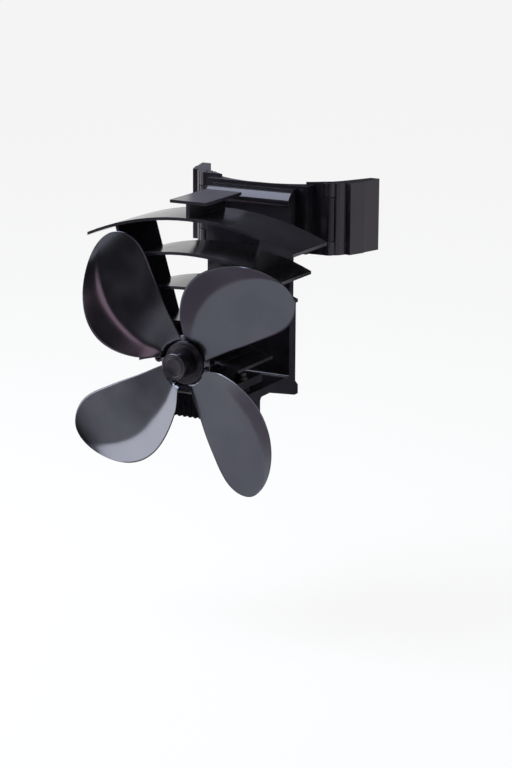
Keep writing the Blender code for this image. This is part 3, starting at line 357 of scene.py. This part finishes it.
def group_finish(name, group, group_values, shader_values, bump):
    """A finish that takes its colour, roughness and relief from an effect group."""
    made, tree, shader = new_finish(name, shader_values)
    source = add_node(tree, "Group", group_values, node_tree=group).outputs
    relief = add_node(tree, "Bump", {"Strength": bump, "Distance": RELIEF_DEPTH},
                      {"Height": source["Height"]})
    join(tree, shader, {"Base Color": source["Colour"], "Roughness": source["Roughness"],
                        "Normal": relief.outputs["Normal"]})
    return made


def metal_finish(name, coat_values, shader_values, bump):
    """An anodised metal, from what its coat differs in."""
    return group_finish(name, anodised_coat, coat_values, shader_values, bump)


ALONG_X = (0.03, 1, 1)
ALONG_Y = (1, 0.03, 1)
ALONG_Z = (1, 1, 0.03)
# The black coat's dust share also paints a light sheen on every face that points up.
BLACK_COAT = {"Dye": (0.0074, 0.0067, 0.0090, 1), "Pale Dye": (0.015, 0.0135, 0.0175, 1),
              "Roughness": 0.13, "Roughness Spread": 0.07, "Dust And Sheen": 0.03}
BLACK_SHADER = {"Metallic": 0.0, "Specular IOR Level": 0.34,
                "Specular Tint": (0.94, 0.86, 1.0, 1)}
black_across = metal_finish("black_anodised_across", dict(BLACK_COAT, Stretch=ALONG_X),
                            BLACK_SHADER, 0.06)
worn_edge = metal_finish("worn_edge",
                         {"Dye": (0.018, 0.018, 0.022, 1), "Pale Dye": (0.075, 0.075, 0.082, 1),
                          "Roughness": 0.26, "Roughness Spread": 0.10, "Dust And Sheen": 0.0},
                         {"Metallic": 0.4, "Specular IOR Level": 0.4}, 0.1)
MERGE_DISTANCE = 2e-6
FLAT_ANGLE = math.radians(0.5)
CORNER_DEGREES = 28
EVEN_SHADING_WEIGHT = 80


def softened(node, width, faces_finish, edges_finish, steps=2, degrees=CORNER_DEGREES):
    """A copy of a CAD node that has its points merged and its corners, the edges over the given
    angle, rounded by width in metres. The rounded strips take the second finish, because that is
    where the coat wears."""
    body = frame["nodes"][node]["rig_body"]
    bm = bmesh.new()
    bm.from_mesh(frame["nodes"][node].data)
    bmesh.ops.remove_doubles(bm, verts=bm.verts, dist=MERGE_DISTANCE)
    bmesh.ops.dissolve_limit(bm, angle_limit=FLAT_ANGLE, verts=bm.verts, edges=bm.edges,
                             delimit=set())
    bm.normal_update()
    for face in bm.faces:
        face.smooth = True
        face.material_index = 0
    mesh = bpy.data.meshes.new(node + "_form")
    bm.to_mesh(mesh)
    bm.free()
    made = bpy.data.objects.new(node + "_form", mesh)
    bpy.context.scene.collection.objects.link(made)
    mesh.materials.append(faces_finish)
    mesh.materials.append(edges_finish)
    mesh.set_sharp_from_angle(angle=math.radians(degrees))
    if width:
        round_over = made.modifiers.new("rounded_edges", "BEVEL")
        round_over.width = width
        round_over.segments = steps
        round_over.limit_method = "ANGLE"
        round_over.angle_limit = math.radians(degrees)
        round_over.material = 1
        weigh = made.modifiers.new("even_shading", "WEIGHTED_NORMAL")
        weigh.weight = EVEN_SHADING_WEIGHT
    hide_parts(node)
    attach(made, body)
    return made


softened("bracket_saddle", 0.0003, black_across, worn_edge)

# Wings
# Two black anodised aluminium extrusions that turn on steel pins and hold from both sides.
# Each has a milled pocket for two nickel plated magnets on a steel keeper, glued in.
WING_SHADER = dict(BLACK_SHADER)
WING_SHADER["Specular IOR Level"] = 0.50
WING_CORNER_DEGREES = 18
wing_black = metal_finish("black_anodised_wing", dict(BLACK_COAT, Stretch=ALONG_Z),
                          WING_SHADER, 0.08)
for side in ("left", "right"):
    softened("wing_" + side, 0.0003, wing_black, worn_edge,
             degrees=WING_CORNER_DEGREES)

SCRATCH_SCALE = 1600
PATCH_FROM = 0.38
PATCH_TO = 0.68


def build_bare_metal():
    """Bare or plated metal: colour = mix(bright, dull, patches), with fine scratches in the
    roughness and the height that run out along one direction."""
    group, gin, gout = effect_group(
        "bare_metal",
        [("Bright", "NodeSocketColor", (0.6, 0.6, 0.6, 1)),
         ("Dull", "NodeSocketColor", (0.35, 0.35, 0.35, 1)),
         ("Stretch", "NodeSocketVector", (1, 1, 1)),
         ("Patch Scale", "NodeSocketFloat", 160.0),
         ("Roughness", "NodeSocketFloat", 0.25),
         ("Roughness Spread", "NodeSocketFloat", 0.15)],
        GROUP_OUTPUTS)
    given = gin.outputs
    place = add_node(group, "TexCoord").outputs["Object"]
    drawn = add_node(group, "VectorMath", operation="MULTIPLY",
                     joined={0: place, 1: given["Stretch"]})
    scratch = add_node(group, "TexNoise", {"Scale": SCRATCH_SCALE, "Detail": 3},
                       {"Vector": drawn.outputs[0]}).outputs["Fac"]
    patch = add_node(group, "TexNoise", {"Detail": 5},
                     {"Vector": place, "Scale": given["Patch Scale"]})
    spread = add_node(group, "MapRange", {"From Min": PATCH_FROM, "From Max": PATCH_TO},
                      {"Value": patch.outputs["Fac"]})
    tone = add_node(group, "Mix", data_type="RGBA",
                    joined={"Factor": spread.outputs["Result"], "A": given["Bright"],
                            "B": given["Dull"]})
    rough = add_node(group, "Math", operation="MULTIPLY_ADD",
                     joined={0: scratch, 1: given["Roughness Spread"], 2: given["Roughness"]})
    join(group, gout, {"Colour": tone.outputs["Result"], "Roughness": rough.outputs[0],
                       "Height": scratch})
    return group


bare_metal = build_bare_metal()


def bare_finish(name, bright, dull, roughness, metallic, bump, **more):
    """A bare, plated or plain finish, from its brightest and its dullest colour."""
    values = {"Bright": bright + (1,), "Dull": dull + (1,), "Roughness": roughness}
    return group_finish(name, bare_metal, dict(values, **more), {"Metallic": metallic}, bump)


steel_finish = bare_finish("zinc_steel", (0.52, 0.52, 0.53), (0.30, 0.30, 0.31), 0.22, 1.0, 0.15,
                           Stretch=ALONG_Z)
nickel_finish = bare_finish("nickel_plate", (0.66, 0.64, 0.60), (0.50, 0.48, 0.45), 0.12, 1.0,
                            0.05)


def refinish(node, made):
    """Gives a CAD node its finish, in place of the plain one it was packed with."""
    slots = frame["nodes"][node].data.materials
    slots.clear()
    slots.append(made)


for side in ("left", "right"):
    softened("hinge_pin_" + side, 0.0002, steel_finish, steel_finish)
    softened("wing_keeper_" + side, 0.00015, steel_finish, steel_finish)
    for end in ("upper", "lower"):
        softened("wing_magnet_%s_%s" % (side, end), 0.0003, nickel_finish,
                 nickel_finish, steps=3)

# Spacer and back screws
# A black block that keeps the hot plate off the saddle, and the four steel screws
# that pass it from behind and pull the hot plate tight.
softened("bracket_spacer", 0.0003, black_across, worn_edge)
for number in range(1, 5):
    softened("bracket_screw_%d" % number, 0.00015, steel_finish, steel_finish)

# Hot plate
# Black anodised aluminium extrusion with a bead at its top, a shelf and a ribbed block
# below it. The bead's upper front is pressed nearly flat and mirrors the high lamp.
BEAD_MIDDLE_Z = 0.0145
BEAD_RADIUS = 0.005
BEAD_FLAT_FROM = math.radians(6)
BEAD_FLAT_TO = math.radians(80)
BEAD_BULGE = 0.12
# How near a point is to count as level with the bead's middle, and as part of its round face
BEAD_LEVEL_BAND = BEAD_RADIUS / 3
BEAD_SKIN = BEAD_RADIUS / 25
hot_plate_form = softened("hot_plate", 0.00025, black_across, worn_edge)


def flatten_bead(mesh):
    """Draws the bead's upper front in to a nearly flat facet. At angle e above the front the new
    radius is r * (bulge + (1 - bulge) * cos(half) / cos(e - middle))."""
    places = np.empty(len(mesh.vertices) * 3)
    mesh.vertices.foreach_get("co", places)
    places = places.reshape(-1, 3)
    level = np.abs(places[:, 2] - BEAD_MIDDLE_Z) < BEAD_LEVEL_BAND
    middle_y = places[level, 1].min() + BEAD_RADIUS
    y, z = places[:, 1] - middle_y, places[:, 2] - BEAD_MIDDLE_Z
    radius, angle = np.hypot(y, z), np.arctan2(z, -y)
    middle = (BEAD_FLAT_FROM + BEAD_FLAT_TO) / 2
    half = (BEAD_FLAT_TO - BEAD_FLAT_FROM) / 2
    chosen = (np.abs(radius - BEAD_RADIUS) < BEAD_SKIN) & (np.abs(angle - middle) < half)
    share = BEAD_BULGE + (1 - BEAD_BULGE) * math.cos(half) / np.cos(angle - middle)
    drawn = np.where(chosen, share, 1)
    places[:, 1] = middle_y + y * drawn
    places[:, 2] = BEAD_MIDDLE_Z + z * drawn
    mesh.vertices.foreach_set("co", places.ravel())
    mesh.update()


flatten_bead(hot_plate_form.data)

# Thermoelectric module
# Two white ceramic plates with pellets and copper tabs between them, closed at the edge
# by a grey silicone bead. It sits in thermal paste between the shelf and the sink's base.
ceramic_finish = bare_finish("alumina_plate", (0.62, 0.61, 0.57), (0.40, 0.38, 0.34), 0.45, 0.0,
                             0.1)
seal_finish = bare_finish("silicone_seal", (0.10, 0.10, 0.10), (0.05, 0.05, 0.05), 0.5, 0.0, 0.2)
pellet_finish = bare_finish("pellets_and_tabs", (0.45, 0.28, 0.18), (0.25, 0.16, 0.11), 0.35, 1.0,
                            0.1)
softened("module_hot_ceramic", 0.0001, ceramic_finish, ceramic_finish)
softened("module_cold_ceramic", 0.0001, ceramic_finish, ceramic_finish)
softened("module_seal", 0.0002, seal_finish, seal_finish)
refinish("module_pellets", pellet_finish)

# Cold sink
# Black anodised aluminium extrusion, sawn to length, with drooping fins, two webs, the ring
# for the motor and the base that lies on the module. Its grain runs from front to back.
black_deep = metal_finish("black_anodised_deep", dict(BLACK_COAT, Stretch=ALONG_Y),
                          BLACK_SHADER, 0.06)
softened("cold_sink", 0.00022, black_deep, worn_edge)

# Clamp screws
# Blackened cap screws that pull the sink down on the module, on washers and on brown
# insulating bushes that keep the block's heat out of the sink.
bush_finish = bare_finish("brown_bush", (0.075, 0.045, 0.03), (0.04, 0.025, 0.02), 0.4, 0.0, 0.1)
dark_steel = bare_finish("blackened_steel", (0.035, 0.035, 0.04), (0.02, 0.02, 0.022), 0.3, 1.0,
                         0.15, Stretch=ALONG_Z)
for side in ("left", "right"):
    softened("clamp_bush_" + side, 0.0001, bush_finish, bush_finish)
    softened("clamp_washer_" + side, 0.0001, dark_steel, dark_steel)
    softened("clamp_screw_" + side, 0.00025, dark_steel, dark_steel)

# Motor
# A small direct current motor in a plated steel can, held in the sink's ring by a grub
# screw. Its end cap is black plastic with two brass solder tabs.
brass_finish = bare_finish("brass", (0.62, 0.44, 0.20), (0.42, 0.29, 0.13), 0.22, 1.0, 0.12)
end_cap_finish = bare_finish("black_end_cap", (0.03, 0.03, 0.03), (0.02, 0.02, 0.02), 0.4, 0.0,
                             0.1)
iron_finish = bare_finish("dark_iron", (0.30, 0.29, 0.28), (0.16, 0.15, 0.14), 0.4, 1.0, 0.2)
softened("motor_can", 0.0003, steel_finish, steel_finish)
softened("motor_end_cap", 0.0002, end_cap_finish, end_cap_finish)
softened("motor_grub_screw", 0.0001, steel_finish, steel_finish)
for side in ("left", "right"):
    softened("motor_terminal_" + side, 0.0001, brass_finish, brass_finish)
    refinish("motor_magnet_" + side, iron_finish)
    refinish("motor_brush_" + side, iron_finish)
for end in ("front", "back"):
    refinish("motor_bearing_" + end, brass_finish)
refinish("motor_armature", iron_finish)
refinish("motor_commutator", brass_finish)

# Leads
# Two silicone covered wires, red and black, from the module's back edge up to the motor.
# They are round, so they have no edges to round over.
LEAD_CORNER_DEGREES = 50
red_finish = bare_finish("red_lead", (0.42, 0.025, 0.02), (0.30, 0.02, 0.018), 0.35, 0.0, 0.1)
black_finish = bare_finish("black_lead", (0.02, 0.02, 0.02), (0.012, 0.012, 0.012), 0.35, 0.0,
                           0.1)
softened("lead_red", 0, red_finish, red_finish, degrees=LEAD_CORNER_DEGREES)
softened("lead_black", 0, black_finish, black_finish, degrees=LEAD_CORNER_DEGREES)

# Shaft and boss
# The motor's ground steel shaft, and the turned brass boss that carries the blades on it.
# A small steel grub screw holds the boss on the shaft.
refinish("motor_shaft", steel_finish)
softened("hub_boss", 0.0002, brass_finish, brass_finish)
softened("hub_grub_screw", 0.0002, steel_finish, steel_finish)

# Fan blades
# One pressed aluminium sheet with four twisted, cupped blades, satin anodised gunmetal.
# The flat middle is held between the boss and the cap, and each blade bends up beside it.
HUB_Z = -0.080
SHEET_MIDDLE = -0.0955
DISC_RADIUS = 0.0178
DISC_BORE = 0.0043
DISC_THICK = 0.001
DISC_EDGE = DISC_THICK / 4
TURN_STEPS = 96
BLADE_PHASE = math.radians(42.7)
BLADE_COUNT = 4
BLADE_THICK = 0.0008
BLADE_HOLLOW = 0.0042
BLADE_CORNER_DEGREES = 50
BEND_PLACE = 0.73
BEND_SOFTNESS = 0.14
EVENING_PASSES = 110
FLAT_RADIUS = 0.0143
RISE_SLOPE = 3.2
# Shares of a blade's length: where its hollow starts, and over what it grows and fades
HOLLOW_START = 0.1
HOLLOW_GROWTH = 0.25
HOLLOW_FADE = 0.5
ROWS_PER_SPAN = 10
ACROSS_STEPS = 48
CLOSE_DISTANCE = 1e-7
# The rim of a blade, as points out along it, across it and forward of the disc
BLADE_LEAD = ((0.0095, -0.0070, 0.0), (0.0160, -0.0092, 0.0), (0.0316, -0.0140, 0.0031),
              (0.0453, -0.0188, 0.0038), (0.0575, -0.0227, 0.0036), (0.0678, -0.0258, 0.0030),
              (0.0766, -0.0270, 0.0029), (0.0844, -0.0255, 0.0035), (0.0905, -0.0216, 0.0047),
              (0.0942, -0.0160, 0.0061))
BLADE_TIP = (0.0950, -0.0087, 0.0074)
BLADE_TRAIL = ((0.0085, 0.0082, 0.0020), (0.0135, 0.0115, 0.0048), (0.0225, 0.0218, 0.0105),
               (0.0343, 0.0293, 0.0154), (0.0467, 0.0329, 0.0169), (0.0590, 0.0321, 0.0164),
               (0.0705, 0.0274, 0.0145), (0.0805, 0.0196, 0.0121), (0.0882, 0.0101, 0.0100),
               (0.0931, 0.0003, 0.0085))


def through_points(table, per_span):
    """Points on a smooth curve through a table's own points. Between b and c, at share t, it is
    (2b + (c - a)t + (2a - 5b + 4c - d)t^2 + (3b - a - 3c + d)t^3) / 2."""
    own = np.asarray(table, float)
    knots = np.vstack([2 * own[:1] - own[1:2], own, 2 * own[-1:] - own[-2:-1]])
    a, b, c, d = (knots[i:len(knots) - 3 + i, None, :] for i in range(4))
    t = (np.arange(per_span) / per_span)[None, :, None]
    runs = (2 * b + (c - a) * t + (2 * a - 5 * b + 4 * c - d) * t ** 2
            + (3 * b - a - 3 * c + d) * t ** 3) / 2
    return np.vstack([runs.reshape(-1, 3), own[-1:]])


def evened(values):
    """A run of values with its small waves evened out, by passes of (before + 2 own + after) / 4
    with both ends held."""
    made = values.copy()
    for _ in range(EVENING_PASSES):
        made[1:-1] = (made[:-2] + 2 * made[1:-1] + made[2:]) / 4
    return made


def bent_section(t):
    """Depth of a section that is nearly flat up to the bend and again past it, as the soft
    minimum of t / bend and (1 - t) / (1 - bend)."""
    before, past = t / BEND_PLACE, (1 - t) / (1 - BEND_PLACE)
    return -BEND_SOFTNESS * np.log(np.exp(-before / BEND_SOFTNESS) + np.exp(-past / BEND_SOFTNESS))


def blade_middle():
    """Middle surface of one blade as out, across and rise, and its rim. Row i joins the two
    edges' points i, place = lead + (trail - lead) * t, with t set closer together at both edges.
    The rise loses hollow * bent section of t, where the hollow grows from the root, fades to the
    tip and is evened along the blade. Near the cap the rise is at most slope * (radius - flat
    radius), so that the sheet stays flat under it."""
    loop = through_points(BLADE_LEAD + (BLADE_TIP,) + BLADE_TRAIL[::-1], ROWS_PER_SPAN)
    half = len(loop) // 2
    loop[:half + 1, 2] = evened(loop[:half + 1, 2])
    loop[half:, 2] = evened(loop[half:, 2])
    lead, tip, trail = loop[:half], loop[half], loop[:half:-1]
    t = (1 - np.cos(np.linspace(0, np.pi, ACROSS_STEPS + 1))) / 2
    t = (t + np.linspace(0, 1, ACROSS_STEPS + 1)) / 2
    rows = lead[:, None] + (trail - lead)[:, None] * t[None, :, None]
    share = np.arange(half) / half
    grown = np.minimum((share - HOLLOW_START) / HOLLOW_GROWTH, (1 - share) / HOLLOW_FADE)
    hollow = evened(BLADE_HOLLOW * np.clip(grown, 0, 1))
    rows[..., 2] = np.maximum(rows[..., 2], 0) - hollow[:, None] * bent_section(t)
    clear = RISE_SLOPE * (np.hypot(rows[..., 0], rows[..., 1]) - FLAT_RADIUS)
    rows[..., 2] = np.minimum(rows[..., 2], np.maximum(clear, 0))
    last = np.repeat(tip[None, None], ACROSS_STEPS + 1, axis=1)
    made = np.concatenate([rows, last])
    return made, np.vstack([made[:, 0], made[-2::-1, -1]])


def distance_to_line(points, line):
    """How far each point is from a line of straight bits: the least |p - a - (b - a) * s|, where
    s is the share along the bit from a to b, kept between 0 and 1."""
    a, b = line[:-1], line[1:]
    run = b - a
    gap = points[..., None, :] - a
    s = np.clip((gap * run).sum(-1) / (run * run).sum(-1), 0, 1)
    return np.sqrt(((gap - run * s[..., None]) ** 2).sum(-1)).min(-1)


def blade_shell():
    """Both faces of a blade. Each stands off the middle by half * sqrt(1 - (1 - d / half)^2),
    with d the distance from the rim, at most half, so that the rim is round."""
    middle, loop = blade_middle()
    half = BLADE_THICK / 2
    d = np.minimum(distance_to_line(middle, loop), half)
    stand = half * np.sqrt(1 - (1 - d / half) ** 2)
    front, back = middle.copy(), middle.copy()
    front[..., 2] += stand
    back[..., 2] -= stand
    return front, back


def turned_places(places, turn):
    """Out, across and rise as x, y and z, for the blade that points along turn: out and across
    turned by that angle about the fan's axis, and y = sheet middle - rise."""
    out, across, rise = np.moveaxis(places, -1, 0)
    x = out * math.cos(turn) - across * math.sin(turn)
    z = HUB_Z + out * math.sin(turn) + across * math.cos(turn)
    return np.stack([x, SHEET_MIDDLE - rise, z], -1)


def grid_faces(rows, columns, offset=0, flip=False):
    """Point numbers of the four-sided faces of a grid whose rows run one after another."""
    first = (np.arange(rows - 1)[:, None] * columns + np.arange(columns - 1)).ravel() + offset
    made = np.stack([first, first + 1, first + columns + 1, first + columns], -1)
    return made[:, ::-1] if flip else made


def ring_faces(rows, steps, flip=False):
    """Point numbers of the faces of a ring whose section is closed: both ways round, the last
    point is next to the first."""
    i, j = np.arange(rows)[:, None] * steps, np.arange(steps)
    after, beside = (i + steps) % (rows * steps), (j + 1) % steps
    made = np.stack([i + j, after + j, after + beside, i + beside], -1).reshape(-1, 4)
    return made[:, [0, 3, 2, 1]] if flip else made


def ring_points(radius, along, steps):
    """A turned surface about the fan's axis: (x, z) = radius * (cos, sin) of the angle, with one
    row for each y in along. The radius may change with the angle too."""
    angle = np.arange(steps) * 2 * np.pi / steps
    x, z = radius * np.cos(angle), HUB_Z + radius * np.sin(angle)
    return np.stack([x, np.repeat(along[:, None], steps, 1), z], -1).reshape(-1, 3)


def ring_surface(profile):
    """A closed surface turned from a profile of (radius, y) points."""
    radius, along = np.asarray(profile, float).T
    return ring_points(radius[:, None], along, TURN_STEPS), ring_faces(len(profile), TURN_STEPS)


def closed_object(name, verts, faces, degrees):
    """An object whose doubled points are merged and whose faces point out. It is smooth but for
    corners over the given angle."""
    made = new_mesh_object(name, verts, faces)
    bm = bmesh.new()
    bm.from_mesh(made.data)
    bmesh.ops.remove_doubles(bm, verts=bm.verts, dist=CLOSE_DISTANCE)
    bmesh.ops.recalc_face_normals(bm, faces=bm.faces)
    for face in bm.faces:
        face.smooth = True
    bm.to_mesh(made.data)
    bm.free()
    made.data.set_sharp_from_angle(angle=math.radians(degrees))
    return made


def disc_profile():
    """Half section of the flat disc, with its rim's two corners cut off."""
    half = DISC_THICK / 2
    rim = DISC_RADIUS - DISC_EDGE
    return [(DISC_BORE, SHEET_MIDDLE + half), (rim, SHEET_MIDDLE + half),
            (DISC_RADIUS, SHEET_MIDDLE + half - DISC_EDGE),
            (DISC_RADIUS, SHEET_MIDDLE - half + DISC_EDGE),
            (rim, SHEET_MIDDLE - half), (DISC_BORE, SHEET_MIDDLE - half)]


def make_blades():
    """The disc and its four blades as one object."""
    front, back = blade_shell()
    rows, columns = front.shape[:2]
    size = rows * columns
    root = np.arange(columns - 1)
    end_faces = np.stack([root, root + size, root + size + 1, root + 1], -1)
    one = np.vstack([grid_faces(rows, columns), grid_faces(rows, columns, size, True), end_faces])
    both = np.stack([front, back])
    verts, faces = [], []
    for k in range(BLADE_COUNT):
        turn = BLADE_PHASE + 2 * math.pi * k / BLADE_COUNT
        verts.append(turned_places(both, turn).reshape(-1, 3))
        faces.append(one + 2 * size * k)
    disc_verts, disc_faces = ring_surface(disc_profile())
    verts.append(disc_verts)
    faces.append(disc_faces + 2 * size * BLADE_COUNT)
    return closed_object("blades_sheet", np.vstack(verts), np.vstack(faces), BLADE_CORNER_DEGREES)


blade_finish = metal_finish("gunmetal_satin",
                            {"Dye": (0.080, 0.083, 0.102, 1), "Pale Dye": (0.094, 0.096, 0.116, 1),
                             "Roughness": 0.155, "Roughness Spread": 0.07, "Dust And Sheen": 0.0},
                            {"Metallic": 1.0}, 0.05)
blades = make_blades()
blades.data.materials.append(blade_finish)
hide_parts("fan_blades")
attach(blades, "rotor")

# Hub cap
# A black cap that screws on the boss and holds the blades. It is turned, with rings cut
# in its face, and a hole in its side lets a key reach the screw on the shaft.
CAP_BACK = -0.0963
CAP_FRONT = -0.1110
CAP_CORNER_DEGREES = 32
cap_finish = metal_finish("dark_cap",
                          {"Dye": (0.0075, 0.0068, 0.0085, 1), "Pale Dye": (0.014, 0.013, 0.016, 1),
                           "Roughness": 0.15, "Roughness Spread": 0.08, "Dust And Sheen": 0.0},
                          BLACK_SHADER, 0.08)
softened("hub_cap", 0.0002, cap_finish, worn_edge)


def cap_part(made):
    """Finish, slot and body of a detail on the cap."""
    made.data.materials.append(cap_finish)
    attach(made, "rotor")


FACE_MIDDLE_RADIUS = 0.0054
FACE_MIDDLE_DEPTH = 0.00020
FACE_RINGS_FROM = 0.0056
FACE_RINGS_TO = 0.0080
FACE_EDGE_RADIUS = 0.00805
FACE_RING_COUNT = 2
FACE_RING_DEPTH = 0.00024
FACE_RING_STEPS = 49
FACE_DISH_INNER = 0.00012
FACE_DISH_OUTER = 0.00002
FACE_BACK_DEPTH = 0.0006


def face_rings():
    """Half section of the cap's dished face: a plain middle and two rings cut round it, the
    depth running as depth * (1 - cos(turns)) / 2 from ring to ring."""
    r = np.linspace(FACE_RINGS_FROM, FACE_RINGS_TO, FACE_RING_STEPS)
    wave = (1 - np.cos((r - r[0]) / (r[-1] - r[0]) * FACE_RING_COUNT * 2 * np.pi)) / 2
    fall = np.linspace(FACE_DISH_INNER, FACE_DISH_OUTER, FACE_RING_STEPS)
    top = np.stack([r, CAP_FRONT + fall + FACE_RING_DEPTH * wave], -1)
    middle, back = CAP_FRONT + FACE_MIDDLE_DEPTH, CAP_FRONT + FACE_BACK_DEPTH
    return np.vstack([[(0.0, back), (0.0, middle), (FACE_MIDDLE_RADIUS, middle)], top,
                      [(FACE_EDGE_RADIUS, back)]])


cap_part(closed_object("cap_face_rings", *ring_surface(face_rings()), CAP_CORNER_DEGREES))

FLANGE_RADIUS = 0.0139
FLANGE_THICK = 0.0012
FLANGE_RINGS_FROM = 0.0095
FLANGE_MARGIN = 0.0007
FLANGE_RING_COUNT = 3
FLANGE_RING_HEIGHT = 0.00018
FLANGE_RING_STEPS = 65
FLANGE_RING_ROUNDNESS = 0.5
FLANGE_BACK_DEPTH = 0.0004


def flange_rings():
    """Half section of the rings on the flange's front. Each stands proud by
    height * |sin(turns)|^roundness, with a sharp groove between it and the next."""
    r = np.linspace(FLANGE_RINGS_FROM, FLANGE_RADIUS - FLANGE_MARGIN, FLANGE_RING_STEPS)
    turns = (r - r[0]) / (r[-1] - r[0]) * FLANGE_RING_COUNT * np.pi
    wave = np.abs(np.sin(turns)) ** FLANGE_RING_ROUNDNESS
    level = CAP_BACK - FLANGE_THICK
    top = np.stack([r, level - FLANGE_RING_HEIGHT * wave], -1)
    back = level + FLANGE_BACK_DEPTH
    return np.vstack([[(r[0], back)], top, [(r[-1], back)]])


cap_part(closed_object("cap_flange_rings", *ring_surface(flange_rings()), CAP_CORNER_DEGREES))

KNURL_COUNT = 72
KNURL_HEIGHT = 0.00016
STEPS_PER_RIDGE = 6
KNURL_STEPS = KNURL_COUNT * STEPS_PER_RIDGE
KNURL_SINK = 0.00002
KNURL_BED = 0.0006
# The band's rows: how far each lies in front of the cap's back, and its share of the height
KNURL_LEVELS = np.array([0.0002, 0.0003, 0.0009, 0.0010])
KNURL_SHARES = np.array([0.0, 1.0, 1.0, 0.0])


def make_knurl():
    """Band round the flange's rim: radius = rim + height * |cos(count * angle / 2)|, with its two
    long edges drawn in to the rim and its back set into the flange."""
    angle = np.arange(KNURL_STEPS) * 2 * np.pi / KNURL_STEPS
    ridge = KNURL_HEIGHT * np.abs(np.cos(KNURL_COUNT * angle / 2))
    outer = FLANGE_RADIUS - KNURL_SINK + KNURL_SHARES[:, None] * ridge
    bed = np.full((1, KNURL_STEPS), FLANGE_RADIUS - KNURL_BED)
    level = np.concatenate([KNURL_LEVELS[:1], KNURL_LEVELS, KNURL_LEVELS[-1:]])
    places = ring_points(np.vstack([bed, outer, bed]), CAP_BACK - level, KNURL_STEPS)
    return new_mesh_object("cap_rim_knurl", places, ring_faces(len(level), KNURL_STEPS, True))


cap_part(make_knurl())
